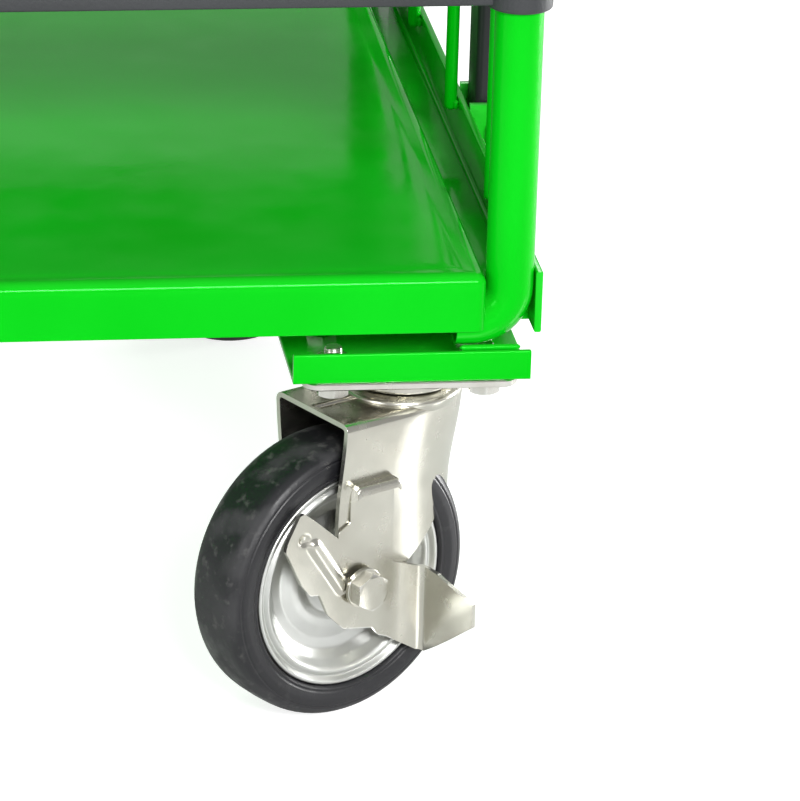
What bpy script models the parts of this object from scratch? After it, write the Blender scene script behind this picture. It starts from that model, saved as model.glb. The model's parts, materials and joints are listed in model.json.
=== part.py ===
"""Two-level steel cart with a stowed tow bar, pushed or towed on four castors.

Frame: metres, +Z up, +X towards the tow bar, floor at z = 0, origin under the middle of the whole.
"""
from math import cos, pi, radians, sin

import bmesh
import bpy
from mathutils import Matrix, Vector

MM = 0.001
GAP = 0.3 * MM

# chassis
HALF_LENGTH = 450 * MM
HALF_WIDTH = 300 * MM
TOW_STANDOFF = 33.5 * MM
CENTRE_X = -TOW_STANDOFF / 2
TRAY_TOP = 256 * MM
TRAY_SHEET = 2 * MM
TRAY_LIP_LOW = 224 * MM
TRAY_SIDE_INSET = 31.6 * MM

# bent posts
POST_R = 13 * MM
POST_WALL = 2 * MM
POST_X = HALF_LENGTH - 17.3 * MM
POST_Y = HALF_WIDTH - 15.3 * MM
POST_TOP = 436 * MM
FOOT_Z = 225.3 * MM
FOOT_BEND = 20 * MM
FOOT_LENGTH = 29 * MM

# side angles and fences
ANGLE_T = 4 * MM
ANGLE_LOW = 219.5 * MM
ANGLE_TOP = 254 * MM
ANGLE_LEG = 46 * MM
ROD_R = 3.75 * MM
ROD_PITCH = 155 * MM
ROD_LOW = 246 * MM
RAIL_LOW = 412 * MM
RAIL_HIGH = 437 * MM

# load tub
TUB_LOW = 403 * MM
TUB_FLOOR = 442 * MM
TUB_TOP = 640 * MM
TUB_WALL = 3 * MM
TUB_HALF_WIDTH = 292 * MM
TUB_CORNER = 22 * MM
RIM_OUT = 2.5 * MM
RIM_HEIGHT = 12 * MM
BOOT_R = 17.3 * MM
BOOT_LOW = TUB_LOW - 2 * MM
FLOOR_T = 4 * MM
RAIL_DEPTH = 16 * MM

# castors
WHEEL_R = 80 * MM
TYRE_INNER_R = 61.3 * MM
TYRE_HALF = 21 * MM
CASTOR_HEIGHT = 195 * MM
TOW_CASTOR_X = 380 * MM
REAR_CASTOR_X = 368 * MM
CASTOR_Y = 256 * MM
TRAIL = 46 * MM
SWIVEL_ANGLE = radians(30)
PLATE_X = 116 * MM
PLATE_Y = 84 * MM
PLATE_T = 4 * MM
BOLT_X = 41 * MM
BOLT_Y = 28 * MM
BOLT_R = 5 * MM
CROWN_Z = 177 * MM
FORK_OUT = 26 * MM
FORK_T = 3 * MM
FORK_NOSE = 36 * MM
AXLE_R = 6 * MM
BORE_CLEAR = 0.3 * MM
PAN_X = 64 * MM
PAN_FRONT = HALF_WIDTH - 2 * MM
PAN_BACK = 200 * MM
PAN_T = 3 * MM
PAN_TOP = 212 * MM
PAN_CLEAR = 0.4 * MM
PLATE_CORNER = 9 * MM
HEX_10 = 9.2 * MM
HEAD_10 = 6.4 * MM
NUT_10 = 8 * MM
HEX_12 = 10.97 * MM
HEAD_12 = 8 * MM
NUT_12 = 10 * MM
WASHER_R = 11 * MM
WASHER_T = 2.4 * MM
BOLT_TAIL = 3 * MM
LEG_FOOT_R = 18 * MM
FIXED_LEG_HALF = 30 * MM
RACE_R = 31 * MM
RACE_SPLIT = CROWN_Z + 5 * MM

# brake lever sheet
LEVER_Y = -27.8 * MM
LEVER_T = 2.5 * MM
PEDAL_REACH = 44 * MM
PEDAL_X = 43.5 * MM
DIMPLE_R = 4.5 * MM
CUTTER_REACH = 100 * MM
# side outline in millimetres from the axle: ahead, then up
LEVER_SIDE = (
    (-39, 51), (-12, 28), (22, 8), (44, 2), (45, -48), (38, -48), (19, -36), (14, -35), (10, -28),
    (-10, -24), (-21, -13), (-27, 0), (-33, 1), (-39, 9), (-47, 25), (-50, 32),
)
SPRING_Y = -26.3 * MM
SPRING_T = 1.2 * MM
SPRING_TOP = 60 * MM
SPRING_HOOK = 7 * MM
SPRING_FOOT = 36 * MM

# tow bar
PIVOT_X = HALF_LENGTH + 19 * MM
PIVOT_Z = 238 * MM
PIVOT_R = 6 * MM
BAR_HALF = 16 * MM
BAR_WALL = 3 * MM
BAR_OFFSET = -1 * MM
BAR_FOOT = 9.5 * MM
BAR_TOP = 760 * MM
EAR_T = 5 * MM
EAR_R = 14 * MM
EYE_R = 30 * MM
EYE_HOLE_R = 13 * MM
EYE_HALF = 5 * MM
EYE_RISE = 32 * MM
STEM_DEPTH = 60 * MM


def clear_scene():
    for item in list(bpy.data.objects):
        bpy.data.objects.remove(item, do_unlink=True)


def make_material(name, colour, roughness, metallic):
    material = bpy.data.materials.new(name)
    material.use_nodes = True
    shader = material.node_tree.nodes["Principled BSDF"]
    shader.inputs["Base Color"].default_value = (*colour, 1)
    shader.inputs["Roughness"].default_value = roughness
    shader.inputs["Metallic"].default_value = metallic
    return material


def add_object(name, mesh_edit, material, parent, smooth=False):
    """Turn a bmesh into an object under its parent."""
    bmesh.ops.remove_doubles(mesh_edit, verts=mesh_edit.verts, dist=1e-6)
    bmesh.ops.recalc_face_normals(mesh_edit, faces=mesh_edit.faces)
    mesh = bpy.data.meshes.new(name)
    mesh_edit.to_mesh(mesh)
    mesh_edit.free()
    mesh.materials.append(material)
    if smooth:
        mesh.shade_smooth()
        mesh.set_sharp_from_angle(angle=radians(35))
    made = bpy.data.objects.new(name, mesh)
    bpy.context.collection.objects.link(made)
    made.parent = parent
    return made


def copy_object(name, source, parent, place):
    """Another piece of the same shape, sharing its mesh."""
    made = bpy.data.objects.new(name, source.data)
    bpy.context.collection.objects.link(made)
    made.parent = parent
    made.location = place
    return made


def add_empty(name, place, turn=0.0, parent=None):
    made = bpy.data.objects.new(name, None)
    bpy.context.collection.objects.link(made)
    made.location = place
    made.rotation_euler = (0, 0, turn)
    made.parent = parent
    return made


def box(low, high):
    """A closed box between two corners."""
    made = bmesh.new()
    bmesh.ops.create_cube(made, size=1)
    low = Vector(low)
    high = Vector(high)
    size = high - low
    middle = (low + high) / 2
    placing = Matrix.Translation(middle) @ Matrix.Diagonal((*size, 1))
    bmesh.ops.transform(made, matrix=placing, verts=made.verts)
    return made


def prism(outline, low, high, axis="Z"):
    """An outline carried straight from low to high along an axis."""
    places = {
        "Z": lambda a, b, c: (a, b, c),
        "Y": lambda a, b, c: (a, c, b),
        "X": lambda a, b, c: (c, a, b),
    }
    made = bmesh.new()
    rings = [[made.verts.new(places[axis](a, b, level)) for a, b in outline] for level in (low, high)]
    made.faces.new(rings[0])
    made.faces.new(rings[1])
    count = len(outline)
    for i in range(count):
        j = (i + 1) % count
        made.faces.new((rings[0][i], rings[0][j], rings[1][j], rings[1][i]))
    bmesh.ops.recalc_face_normals(made, faces=made.faces)
    return made


def arc(centre, radius, start, end, steps):
    """Points on an arc, with angles in degrees."""
    turns = [radians(start + (end - start) * i / steps) for i in range(steps + 1)]
    return [(centre[0] + radius * cos(t), centre[1] + radius * sin(t)) for t in turns]


def ring_points(radius, count, turn=0.0):
    turns = [2 * pi * i / count + turn for i in range(count)]
    return [(radius * cos(t), radius * sin(t)) for t in turns]


def rounded_rectangle(half_x, half_y, radius, steps=4):
    corners = ((1, 1, 0), (-1, 1, 90), (-1, -1, 180), (1, -1, 270))
    outline = []
    for side_x, side_y, start in corners:
        centre = (side_x * (half_x - radius), side_y * (half_y - radius))
        outline += arc(centre, radius, start, start + 90, steps)
    return outline


def turned(profile, count, axis="Z"):
    """A closed profile of (radius, height) points spun about an axis."""
    made = bmesh.new()
    rings = []
    for radius, height in profile:
        if radius < 1e-7:
            tip = made.verts.new((0, 0, height))
            rings.append([tip] * count)
            continue
        rings.append([made.verts.new((x, y, height)) for x, y in ring_points(radius, count)])
    for first, second in zip(rings, rings[1:] + rings[:1]):
        for i in range(count):
            j = (i + 1) % count
            corners = []
            for corner in (first[i], first[j], second[j], second[i]):
                if corner not in corners:
                    corners.append(corner)
            if len(corners) > 2:
                made.faces.new(corners)
    if axis == "Y":
        bmesh.ops.rotate(made, verts=made.verts, matrix=Matrix.Rotation(radians(90), 3, "X"))
    bmesh.ops.recalc_face_normals(made, faces=made.faces)
    return made


def moved(made, shift):
    bmesh.ops.translate(made, verts=made.verts, vec=shift)
    return made


def combined(first, second, kind):
    """Boolean of two closed shapes: UNION, DIFFERENCE or INTERSECT."""
    pair = []
    for made in (first, second):
        mesh = bpy.data.meshes.new("work")
        made.to_mesh(mesh)
        made.free()
        item = bpy.data.objects.new("work", mesh)
        bpy.context.collection.objects.link(item)
        pair.append(item)
    target, cutter = pair
    modifier = target.modifiers.new("cut", "BOOLEAN")
    modifier.operation = kind
    modifier.solver = "EXACT"
    modifier.object = cutter
    evaluated = target.evaluated_get(bpy.context.evaluated_depsgraph_get())
    result = bmesh.new()
    result.from_mesh(evaluated.to_mesh())
    for item in pair:
        mesh = item.data
        bpy.data.objects.remove(item, do_unlink=True)
        bpy.data.meshes.remove(mesh)
    return result


def union(first, *others):
    for other in others:
        first = combined(first, other, "UNION")
    return first


def minus(first, *others):
    for other in others:
        first = combined(first, other, "DIFFERENCE")
    return first


def swept_tube(path, outer, inner, count):
    """A tube with open ends along a path that lies in the XZ plane."""
    made = bmesh.new()
    rings = []
    for index, point in enumerate(path):
        before = path[max(index - 1, 0)]
        after = path[min(index + 1, len(path) - 1)]
        along = (after - before).normalized()
        side = Vector((0, 1, 0))
        up = along.cross(side)
        for radius in (outer, inner):
            offsets = [side * x + up * y for x, y in ring_points(radius, count)]
            rings.append([made.verts.new(point + offset) for offset in offsets])
    outers = rings[0::2]
    inners = rings[1::2]
    for wall in (outers, inners):
        for first, second in zip(wall, wall[1:]):
            for i in range(count):
                j = (i + 1) % count
                made.faces.new((first[i], first[j], second[j], second[i]))
    for end in (0, -1):
        for i in range(count):
            j = (i + 1) % count
            made.faces.new((outers[end][i], outers[end][j], inners[end][j], inners[end][i]))
    return made


def make_tray(material, base):
    """Folded sheet: long lips in one section, and a shorter lip under each end."""
    half = HALF_LENGTH - TRAY_SIDE_INSET
    inner = HALF_WIDTH - TRAY_SHEET
    under = TRAY_TOP - TRAY_SHEET
    outline = [
        (-HALF_WIDTH, TRAY_LIP_LOW),
        (-HALF_WIDTH, TRAY_TOP),
        (HALF_WIDTH, TRAY_TOP),
        (HALF_WIDTH, TRAY_LIP_LOW),
        (inner, TRAY_LIP_LOW),
        (inner, under),
        (-inner, under),
        (-inner, TRAY_LIP_LOW),
    ]
    tray = prism(outline, -half, half, axis="X")
    reach = POST_Y - POST_R - 2 * MM
    for side in (-1, 1):
        ends = sorted((side * (half - GAP), side * (half - TRAY_SHEET)))
        lip = box((ends[0], -reach, TRAY_LIP_LOW + GAP), (ends[1], reach, TRAY_TOP - TRAY_SHEET / 2))
        tray = union(tray, lip)
    add_object("lower_tray", tray, material, base)


def make_posts(material, base):
    for name, side_x, side_y in corner_names():
        inward = -side_x
        path = [Vector((0, 0, POST_TOP)), Vector((0, 0, FOOT_Z + FOOT_BEND))]
        for step in range(1, 6):
            turn = radians(90) * step / 5
            in_by = inward * FOOT_BEND * (1 - cos(turn))
            path.append(Vector((in_by, 0, FOOT_Z + FOOT_BEND * (1 - sin(turn)))))
        path.append(Vector((inward * FOOT_LENGTH, 0, FOOT_Z)))
        tube = swept_tube(path, POST_R, POST_R - POST_WALL, 16)
        post = add_object("post_" + name, tube, material, base, smooth=True)
        post.location = (side_x * POST_X, side_y * POST_Y, 0)


def corner_names():
    """Name and signs of each corner: near is -Y, tow is +X."""
    return (("near_tow", 1, -1), ("far_tow", 1, 1), ("near_rear", -1, -1), ("far_rear", -1, 1))


def castor_place(side_x, side_y):
    """Where a castor's plate is centred; the swivel pair at the tow end stands further out."""
    reach = TOW_CASTOR_X if side_x > 0 else REAR_CASTOR_X
    return (side_x * reach, side_y * CASTOR_Y, 0)


def make_side_angles(material, base):
    for name, side in (("tow", 1), ("rear", -1)):
        outer = sorted((side * HALF_LENGTH, side * (HALF_LENGTH - ANGLE_T)))
        leg = sorted((side * HALF_LENGTH, side * (HALF_LENGTH - ANGLE_LEG)))
        upright_reach = POST_Y + 6 * MM
        leg_reach = POST_Y - POST_R - 1 * MM
        upright = box((outer[0], -upright_reach, ANGLE_LOW), (outer[1], upright_reach, ANGLE_TOP))
        shelf = box((leg[0], -leg_reach, ANGLE_LOW), (leg[1], leg_reach, ANGLE_LOW + ANGLE_T))
        add_object("side_angle_" + name, union(upright, shelf), material, base)


def make_fences(material, base):
    """Three round rods hanging from the upper end rail."""
    centre = HALF_LENGTH - ANGLE_T - GAP - ROD_R
    for name, side in (("tow", 1), ("rear", -1)):
        reach = POST_Y - BOOT_R - GAP
        ends = sorted((side * (HALF_LENGTH - ANGLE_T), side * (HALF_LENGTH - ANGLE_T - RAIL_DEPTH)))
        fence = box((ends[0], -reach, RAIL_LOW), (ends[1], reach, RAIL_HIGH))
        for index in (-1, 0, 1):
            rod = prism(ring_points(ROD_R, 10), ROD_LOW, RAIL_LOW + 5 * MM)
            fence = union(fence, moved(rod, (side * centre, index * ROD_PITCH, 0)))
        add_object("fence_" + name, fence, material, base)


def make_upper_rails(material, base):
    reach = POST_X - BOOT_R - GAP
    for name, side in (("near", -1), ("far", 1)):
        faces = sorted((side * (TUB_HALF_WIDTH - TUB_WALL - 1 * MM), side * (TUB_HALF_WIDTH - 24 * MM)))
        add_object(
            "upper_rail_" + name,
            box((-reach, faces[0], RAIL_LOW), (reach, faces[1], RAIL_HIGH)),
            material,
            base,
        )


def make_tub(material, base):
    """Moulded tub with a skirt below its floor and a boot over each post."""
    wall = TUB_WALL
    half_x = HALF_LENGTH
    outer = prism(rounded_rectangle(half_x, TUB_HALF_WIDTH, TUB_CORNER), TUB_LOW, TUB_TOP)
    rim_outline = rounded_rectangle(half_x + RIM_OUT, TUB_HALF_WIDTH + 8 * MM, TUB_CORNER)
    rim = prism(rim_outline, TUB_TOP - RIM_HEIGHT, TUB_TOP)
    inside = rounded_rectangle(half_x - wall, TUB_HALF_WIDTH - wall, TUB_CORNER - wall)
    load = prism(inside, TUB_FLOOR, TUB_TOP + wall)
    under = prism(inside, TUB_LOW - wall, TUB_FLOOR - FLOOR_T)
    tub = minus(union(outer, rim), load, under)
    for _, side_x, side_y in corner_names():
        boot = prism(ring_points(BOOT_R, 16), BOOT_LOW, TUB_FLOOR)
        tub = union(tub, moved(boot, (side_x * POST_X, side_y * POST_Y, 0)))
    for _, side_x, side_y in corner_names():
        socket = prism(ring_points(POST_R + GAP, 16), BOOT_LOW - 3 * MM, TUB_FLOOR - FLOOR_T)
        tub = minus(tub, moved(socket, (side_x * POST_X, side_y * POST_Y, 0)))
    add_object("load_tub", tub, material, base)


def make_pans(material, base):
    """Folded castor seats: a shelf with a flange on each long edge."""
    low = CASTOR_HEIGHT + GAP
    for name, side_x, side_y in corner_names():
        centre = castor_place(side_x, side_y)
        outline = [
            (side_y * PAN_FRONT, low),
            (side_y * PAN_FRONT, PAN_TOP),
            (side_y * (PAN_FRONT - PAN_T), PAN_TOP),
            (side_y * (PAN_FRONT - PAN_T), low + PAN_T),
            (side_y * (PAN_BACK + PAN_T), low + PAN_T),
            (side_y * (PAN_BACK + PAN_T), ANGLE_LOW - GAP),
            (side_y * PAN_BACK, ANGLE_LOW - GAP),
            (side_y * PAN_BACK, low),
        ]
        pan = prism(outline, centre[0] - PAN_X, centre[0] + PAN_X, axis="X")
        for step_x in (-1, 1):
            for step_y in (-1, 1):
                hole = prism(ring_points(BOLT_R + PAN_CLEAR, 12), low - PAN_T, low + 2 * PAN_T)
                place = (centre[0] + step_x * BOLT_X, centre[1] + step_y * BOLT_Y, 0)
                pan = minus(pan, moved(hole, place))
        add_object("castor_pan_" + name, pan, material, base)


def make_mount_bolts(material, base):
    """Hex bolt up through plate and pan, with its nut run down onto the pan."""
    low = CASTOR_HEIGHT - PLATE_T - GAP
    shelf = CASTOR_HEIGHT + GAP + PAN_T + GAP
    head = prism(ring_points(HEX_10, 6, pi / 6), low - HEAD_10, low)
    shank = prism(ring_points(BOLT_R, 10), low - 1 * MM, PAN_TOP - GAP)
    nut = prism(ring_points(HEX_10, 6), shelf, shelf + NUT_10)
    first = None
    for name, side_x, side_y in corner_names():
        centre = castor_place(side_x, side_y)
        number = 1
        for step_x in (-1, 1):
            for step_y in (-1, 1):
                place = (centre[0] + step_x * BOLT_X, centre[1] + step_y * BOLT_Y, 0)
                title = "mount_bolt_" + name + "_" + str(number)
                number += 1
                if first is None:
                    first = add_object(title, union(head, shank, nut), material, base)
                    first.location = place
                else:
                    copy_object(title, first, base, place)


def plate_blank(low, high):
    """The castor's top plate with its four bolt holes."""
    plate = prism(rounded_rectangle(PLATE_X / 2, PLATE_Y / 2, PLATE_CORNER), low, high)
    for step_x in (-1, 1):
        for step_y in (-1, 1):
            hole = prism(ring_points(BOLT_R + BORE_CLEAR, 12), low - PLATE_T, high + PLATE_T)
            plate = minus(plate, moved(hole, (step_x * BOLT_X, step_y * BOLT_Y, 0)))
    return plate


def make_swivel_head(name, material, base, place):
    """Top plate, fixed race and king pin in one pressing."""
    top = CASTOR_HEIGHT
    race = [
        (0, top - 1 * MM),
        (RACE_R, top - 1 * MM),
        (RACE_R, RACE_SPLIT + 3 * MM),
        (RACE_R - 5 * MM, RACE_SPLIT),
        (AXLE_R, RACE_SPLIT),
        (AXLE_R, CROWN_Z - FORK_T - GAP),
        (11 * MM, CROWN_Z - FORK_T - GAP),
        (9 * MM, CROWN_Z - FORK_T - 5 * MM),
        (0, CROWN_Z - FORK_T - 5 * MM),
    ]
    head = union(plate_blank(top - PLATE_T, top), turned(race, 20))
    made = add_object("swivel_plate_" + name, head, material, base, smooth=True)
    made.location = place


def fork_sides(top, nose):
    """Plan of the fork, a U open at the back, carried down and cut to the legs' side view."""
    back = -TRAIL - 20 * MM
    low = WHEEL_R - 24 * MM
    plans = []
    for inset in (0, FORK_T):
        side = FORK_OUT - inset
        plan = [(back, -side)] + arc((nose - FORK_OUT, 0), side, -90, 90, 8) + [(back, side)]
        plans.append(plan)
    inner = [(back - 5 * MM, -FORK_OUT + FORK_T)] + plans[1][1:-1] + [(back - 5 * MM, FORK_OUT - FORK_T)]
    shell = minus(prism(plans[0], low, top), prism(inner, low - FORK_T, top - FORK_T))
    side_view = [
        (-TRAIL - 14 * MM, top + 1 * MM),
        (nose + 1 * MM, top + 1 * MM),
        (nose - 6 * MM, top - 48 * MM),
        (-TRAIL + 17 * MM, WHEEL_R - 8 * MM),
    ]
    side_view += arc((-TRAIL, WHEEL_R), LEG_FOOT_R, -25, -155, 6)
    side_view += [(-TRAIL - 17 * MM, WHEEL_R + 10 * MM)]
    return combined(shell, prism(side_view, -2 * FORK_OUT, 2 * FORK_OUT, axis="Y"), "INTERSECT")


def axle_hole(trail):
    hole = prism(ring_points(AXLE_R + BORE_CLEAR, 14), -2 * FORK_OUT, 2 * FORK_OUT, axis="Y")
    return moved(hole, (-trail, 0, WHEEL_R))


def make_swivel_fork(name, material, parent):
    ring = [
        (15 * MM, CROWN_Z - 1 * MM),
        (RACE_R - 1 * MM, CROWN_Z - 1 * MM),
        (RACE_R, CROWN_Z + 4 * MM),
        (RACE_R - 3 * MM, RACE_SPLIT - GAP),
        (15 * MM, RACE_SPLIT - GAP),
    ]
    fork = union(fork_sides(CROWN_Z, FORK_NOSE), turned(ring, 20))
    pin_hole = prism(ring_points(AXLE_R + BORE_CLEAR, 12), CROWN_Z - 2 * FORK_T, CROWN_Z + FORK_T)
    fork = minus(fork, pin_hole, axle_hole(TRAIL))
    add_object("fork_" + name, fork, material, parent, smooth=True)


def make_fixed_fork(name, material, base, place):
    """Rear bracket: a flat tapered leg each side of the wheel, straight under the plate."""
    top = CASTOR_HEIGHT
    side_view = [(FIXED_LEG_HALF, top - 1 * MM), (-FIXED_LEG_HALF, top - 1 * MM)]
    side_view += arc((0, WHEEL_R), LEG_FOOT_R, -165, -15, 8)
    made = plate_blank(top - PLATE_T, top)
    for side in (-1, 1):
        faces = sorted((side * FORK_OUT, side * (FORK_OUT - FORK_T)))
        made = union(made, prism(side_view, *faces, axis="Y"))
    made = minus(made, axle_hole(0))
    add_object("fixed_fork_" + name, made, material, base, smooth=True).location = place


def make_wheel(name, rim_material, tyre_material, parent):
    """Solid tyre on a pressed disc wheel, spinning about its own Y axis."""
    half_profile = [(6.3, 22), (14, 22), (16, 9), (30, 5), (46, 8), (54, 19), (61, 18.5)]
    rim_profile = [(r * MM, y * MM) for r, y in half_profile]
    rim_profile += [(r * MM, -y * MM) for r, y in reversed(half_profile)]
    add_object("rim_" + name, turned(rim_profile, 24, axis="Y"), rim_material, parent, smooth=True)
    shoulder = [(TYRE_INNER_R, 18 * MM), (68 * MM, TYRE_HALF), (76 * MM, 18.5 * MM), (WHEEL_R, 9 * MM)]
    tyre_profile = shoulder + [(r, -y) for r, y in reversed(shoulder)]
    add_object("tyre_" + name, turned(tyre_profile, 32, axis="Y"), tyre_material, parent, smooth=True)


def make_axle(name, material, parent, outer_face):
    """Bolt through the fork with a washer under its head and its nut as the far end."""
    far = FORK_OUT + GAP
    under = outer_face - WASHER_T
    washer = prism(ring_points(WASHER_R, 16), under, outer_face, axis="Y")
    head = prism(ring_points(HEX_12, 6, pi / 6), under - HEAD_12, under + MM / 2, axis="Y")
    shank = prism(ring_points(AXLE_R, 12), under - MM, far + NUT_12 + BOLT_TAIL, axis="Y")
    nut = prism(ring_points(HEX_12, 6, pi / 6), far, far + NUT_12, axis="Y")
    add_object("axle_bolt_" + name, union(shank, washer, head, nut), material, parent, smooth=True)


def make_lever(name, material, parent):
    """Side brake lever: a flat plate on the axle, folded out into a foot pedal."""
    inner = LEVER_Y
    outer = LEVER_Y - LEVER_T
    reach = inner - PEDAL_REACH
    plan = [
        (-53 * MM, inner),
        (26 * MM, inner),
        (PEDAL_X - 2 * MM, inner - 2.7 * MM),
        (PEDAL_X, reach),
        (PEDAL_X - LEVER_T, reach - 0.2 * MM),
        (PEDAL_X - 2 * MM - LEVER_T, outer - 2.5 * MM),
        (25.6 * MM, outer),
        (-53 * MM, outer),
    ]
    far = -CUTTER_REACH
    outline = [(x * MM, z * MM) for x, z in LEVER_SIDE]
    side_cut = prism(outline, far, 0, axis="Y")
    sheet = combined(prism(plan, -60 * MM, 60 * MM), side_cut, "INTERSECT")
    hole = prism(ring_points(AXLE_R + BORE_CLEAR, 14), far, 0, axis="Y")
    dimple = moved(prism(ring_points(DIMPLE_R, 10), far, 0, axis="Y"), (-34 * MM, 0, 32 * MM))
    below = [
        (far, far),
        (-36 * MM, far),
        (-36 * MM, -44 * MM),
        (reach, -14 * MM),
        (far, -14 * MM),
    ]
    above = [
        (far, CUTTER_REACH),
        (far, -8 * MM),
        (reach - 1 * MM, -8 * MM),
        (-56 * MM, 1 * MM),
        (-56 * MM, CUTTER_REACH),
    ]
    corners = [prism(edge, 30 * MM, 60 * MM, axis="X") for edge in (below, above)]
    add_object("brake_lever_" + name, minus(sheet, hole, dimple, *corners), material, parent)


def make_spring(name, material, parent):
    """Flat spring on the fork leg with a hooked top, under the lever."""
    face = SPRING_Y
    back = SPRING_Y - SPRING_T
    low = -9 * MM
    outline = [
        (face, low),
        (face, SPRING_TOP),
        (face - SPRING_HOOK, SPRING_TOP),
        (face - SPRING_HOOK, SPRING_TOP - SPRING_T),
        (back, SPRING_TOP - SPRING_T),
        (back, low),
    ]
    strip = prism(outline, -7 * MM, 22 * MM, axis="X")
    foot = box((-15 * MM, back, low), (22 * MM, face, SPRING_FOOT))
    strip = union(strip, foot)
    hole = prism(ring_points(AXLE_R + BORE_CLEAR, 14), -CUTTER_REACH, 0, axis="Y")
    add_object("brake_spring_" + name, minus(strip, hole), material, parent)


def make_swivel_castor(name, place, turn, metal, rim_metal, rubber, base):
    make_swivel_head(name, metal, base, place)
    swivel = add_empty("swivel_axis_" + name, place, turn, base)
    make_swivel_fork(name, metal, swivel)
    axle = add_empty("axle_" + name, (-TRAIL, 0, WHEEL_R), 0, swivel)
    make_wheel(name, rim_metal, rubber, axle)
    make_axle(name, metal, axle, LEVER_Y - LEVER_T - GAP)
    make_spring(name, metal, axle)
    make_lever(name, metal, axle)


def make_fixed_castor(name, place, metal, rim_metal, rubber, base):
    make_fixed_fork(name, metal, base, place)
    axle = add_empty("axle_" + name, (place[0], place[1], WHEEL_R), 0, base)
    make_wheel(name, rim_metal, rubber, axle)
    make_axle(name, metal, axle, -FORK_OUT - GAP)


def make_tow_bracket(material, base):
    """Two ears on a back plate, on the outside of the side angle."""
    start = HALF_LENGTH + GAP
    inner = BAR_HALF + 1 * MM
    outline = [(start, PIVOT_Z - EAR_R), (PIVOT_X, PIVOT_Z - EAR_R)]
    outline += arc((PIVOT_X, PIVOT_Z), EAR_R, -90, 90, 8)
    outline += [(start, PIVOT_Z + EAR_R)]
    hole = [(x + PIVOT_X, z + PIVOT_Z) for x, z in ring_points(PIVOT_R + BORE_CLEAR, 14)]
    ears = []
    for side in (-1, 1):
        faces = sorted((side * inner, side * (inner + EAR_T)))
        bore = prism(hole, faces[0] - EAR_T, faces[1] + EAR_T, axis="Y")
        ears.append(minus(prism(outline, *faces, axis="Y"), bore))
    low = PIVOT_Z - EAR_R - 0.4 * MM
    plate = box((start, -inner - 1 * MM, low), (start + 0.6 * MM, inner + 1 * MM, low + 6.4 * MM))
    add_object("tow_bracket", union(ears[0], plate, ears[1]), material, base)


def make_tow_bar(material, steel, base):
    """Square tube on its pivot, standing stowed, with the pivot bolt held by the bracket."""
    pivot = add_empty("tow_pivot", (PIVOT_X, 0, PIVOT_Z), 0, base)
    half = BAR_HALF
    low = -BAR_FOOT
    top = BAR_TOP - PIVOT_Z
    centre = -BAR_OFFSET
    outer = box((centre - half, -half, low), (centre + half, half, top))
    inner = half - BAR_WALL
    bore = box((centre - inner, -inner, low - half), (centre + inner, inner, top + half))
    hole = prism(ring_points(PIVOT_R + BORE_CLEAR, 14), -2 * half, 2 * half, axis="Y")
    add_object("tow_bar", minus(outer, bore, hole), material, pivot)

    reach = BAR_HALF + 1 * MM + EAR_T + GAP
    shank = prism(ring_points(PIVOT_R, 14), -reach - 1 * MM, reach + 12 * MM, axis="Y")
    head = prism(ring_points(HEX_12, 6), -reach - HEAD_12, -reach, axis="Y")
    nut = prism(ring_points(HEX_12, 6), reach, reach + NUT_12, axis="Y")
    bolt = add_object("tow_pivot_bolt", union(shank, head, nut), steel, base, smooth=True)
    bolt.location = (PIVOT_X, 0, PIVOT_Z)

    middle = top + EYE_RISE
    thin = EYE_HALF - 1 * MM
    ring = moved(turned_ring(EYE_HOLE_R, EYE_R, EYE_HALF), (centre, 0, middle))
    stem_low = (centre - thin, -inner + GAP, top - STEM_DEPTH)
    stem = box(stem_low, (centre + thin, inner - GAP, middle - EYE_R + 8 * MM))
    cap = box((centre - half, -half, top + GAP), (centre + half, half, top + 3 * MM))
    add_object("tow_eye", union(stem, cap, ring), steel, pivot)


def turned_ring(inner, outer, half):
    """A flat ring about the X axis."""
    profile = [(inner, -half), (outer - 2 * MM, -half), (outer, 0), (outer - 2 * MM, half), (inner, half)]
    made = turned(profile, 20)
    bmesh.ops.rotate(made, verts=made.verts, matrix=Matrix.Rotation(radians(90), 3, "Y"))
    return made


def build():
    clear_scene()
    green = make_material("green_enamel", (0.0, 0.42, 0.005), 0.22, 0.0)
    black = make_material("black_moulding", (0.025, 0.028, 0.03), 0.6, 0.0)
    black_paint = make_material("black_enamel", (0.02, 0.022, 0.025), 0.4, 0.0)
    zinc = make_material("zinc_plate", (0.62, 0.61, 0.55), 0.32, 1.0)
    rim_zinc = make_material("zinc_rim", (0.66, 0.67, 0.64), 0.3, 1.0)
    rubber = make_material("black_rubber", (0.02, 0.02, 0.023), 0.75, 0.0)

    base = add_empty("cart_base", (CENTRE_X, 0, 0))
    make_tray(green, base)
    make_posts(green, base)
    make_side_angles(green, base)
    make_fences(green, base)
    make_upper_rails(green, base)
    make_tub(black, base)
    make_pans(green, base)
    make_mount_bolts(zinc, base)
    for name, side_x, side_y in corner_names():
        place = castor_place(side_x, side_y)
        if side_x > 0:
            turn = -side_y * SWIVEL_ANGLE
            make_swivel_castor(name, place, turn, zinc, rim_zinc, rubber, base)
        else:
            make_fixed_castor(name, place, zinc, rim_zinc, rubber, base)
    make_tow_bracket(green, base)
    make_tow_bar(black_paint, zinc, base)


build()
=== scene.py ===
import json
from math import radians

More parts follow.
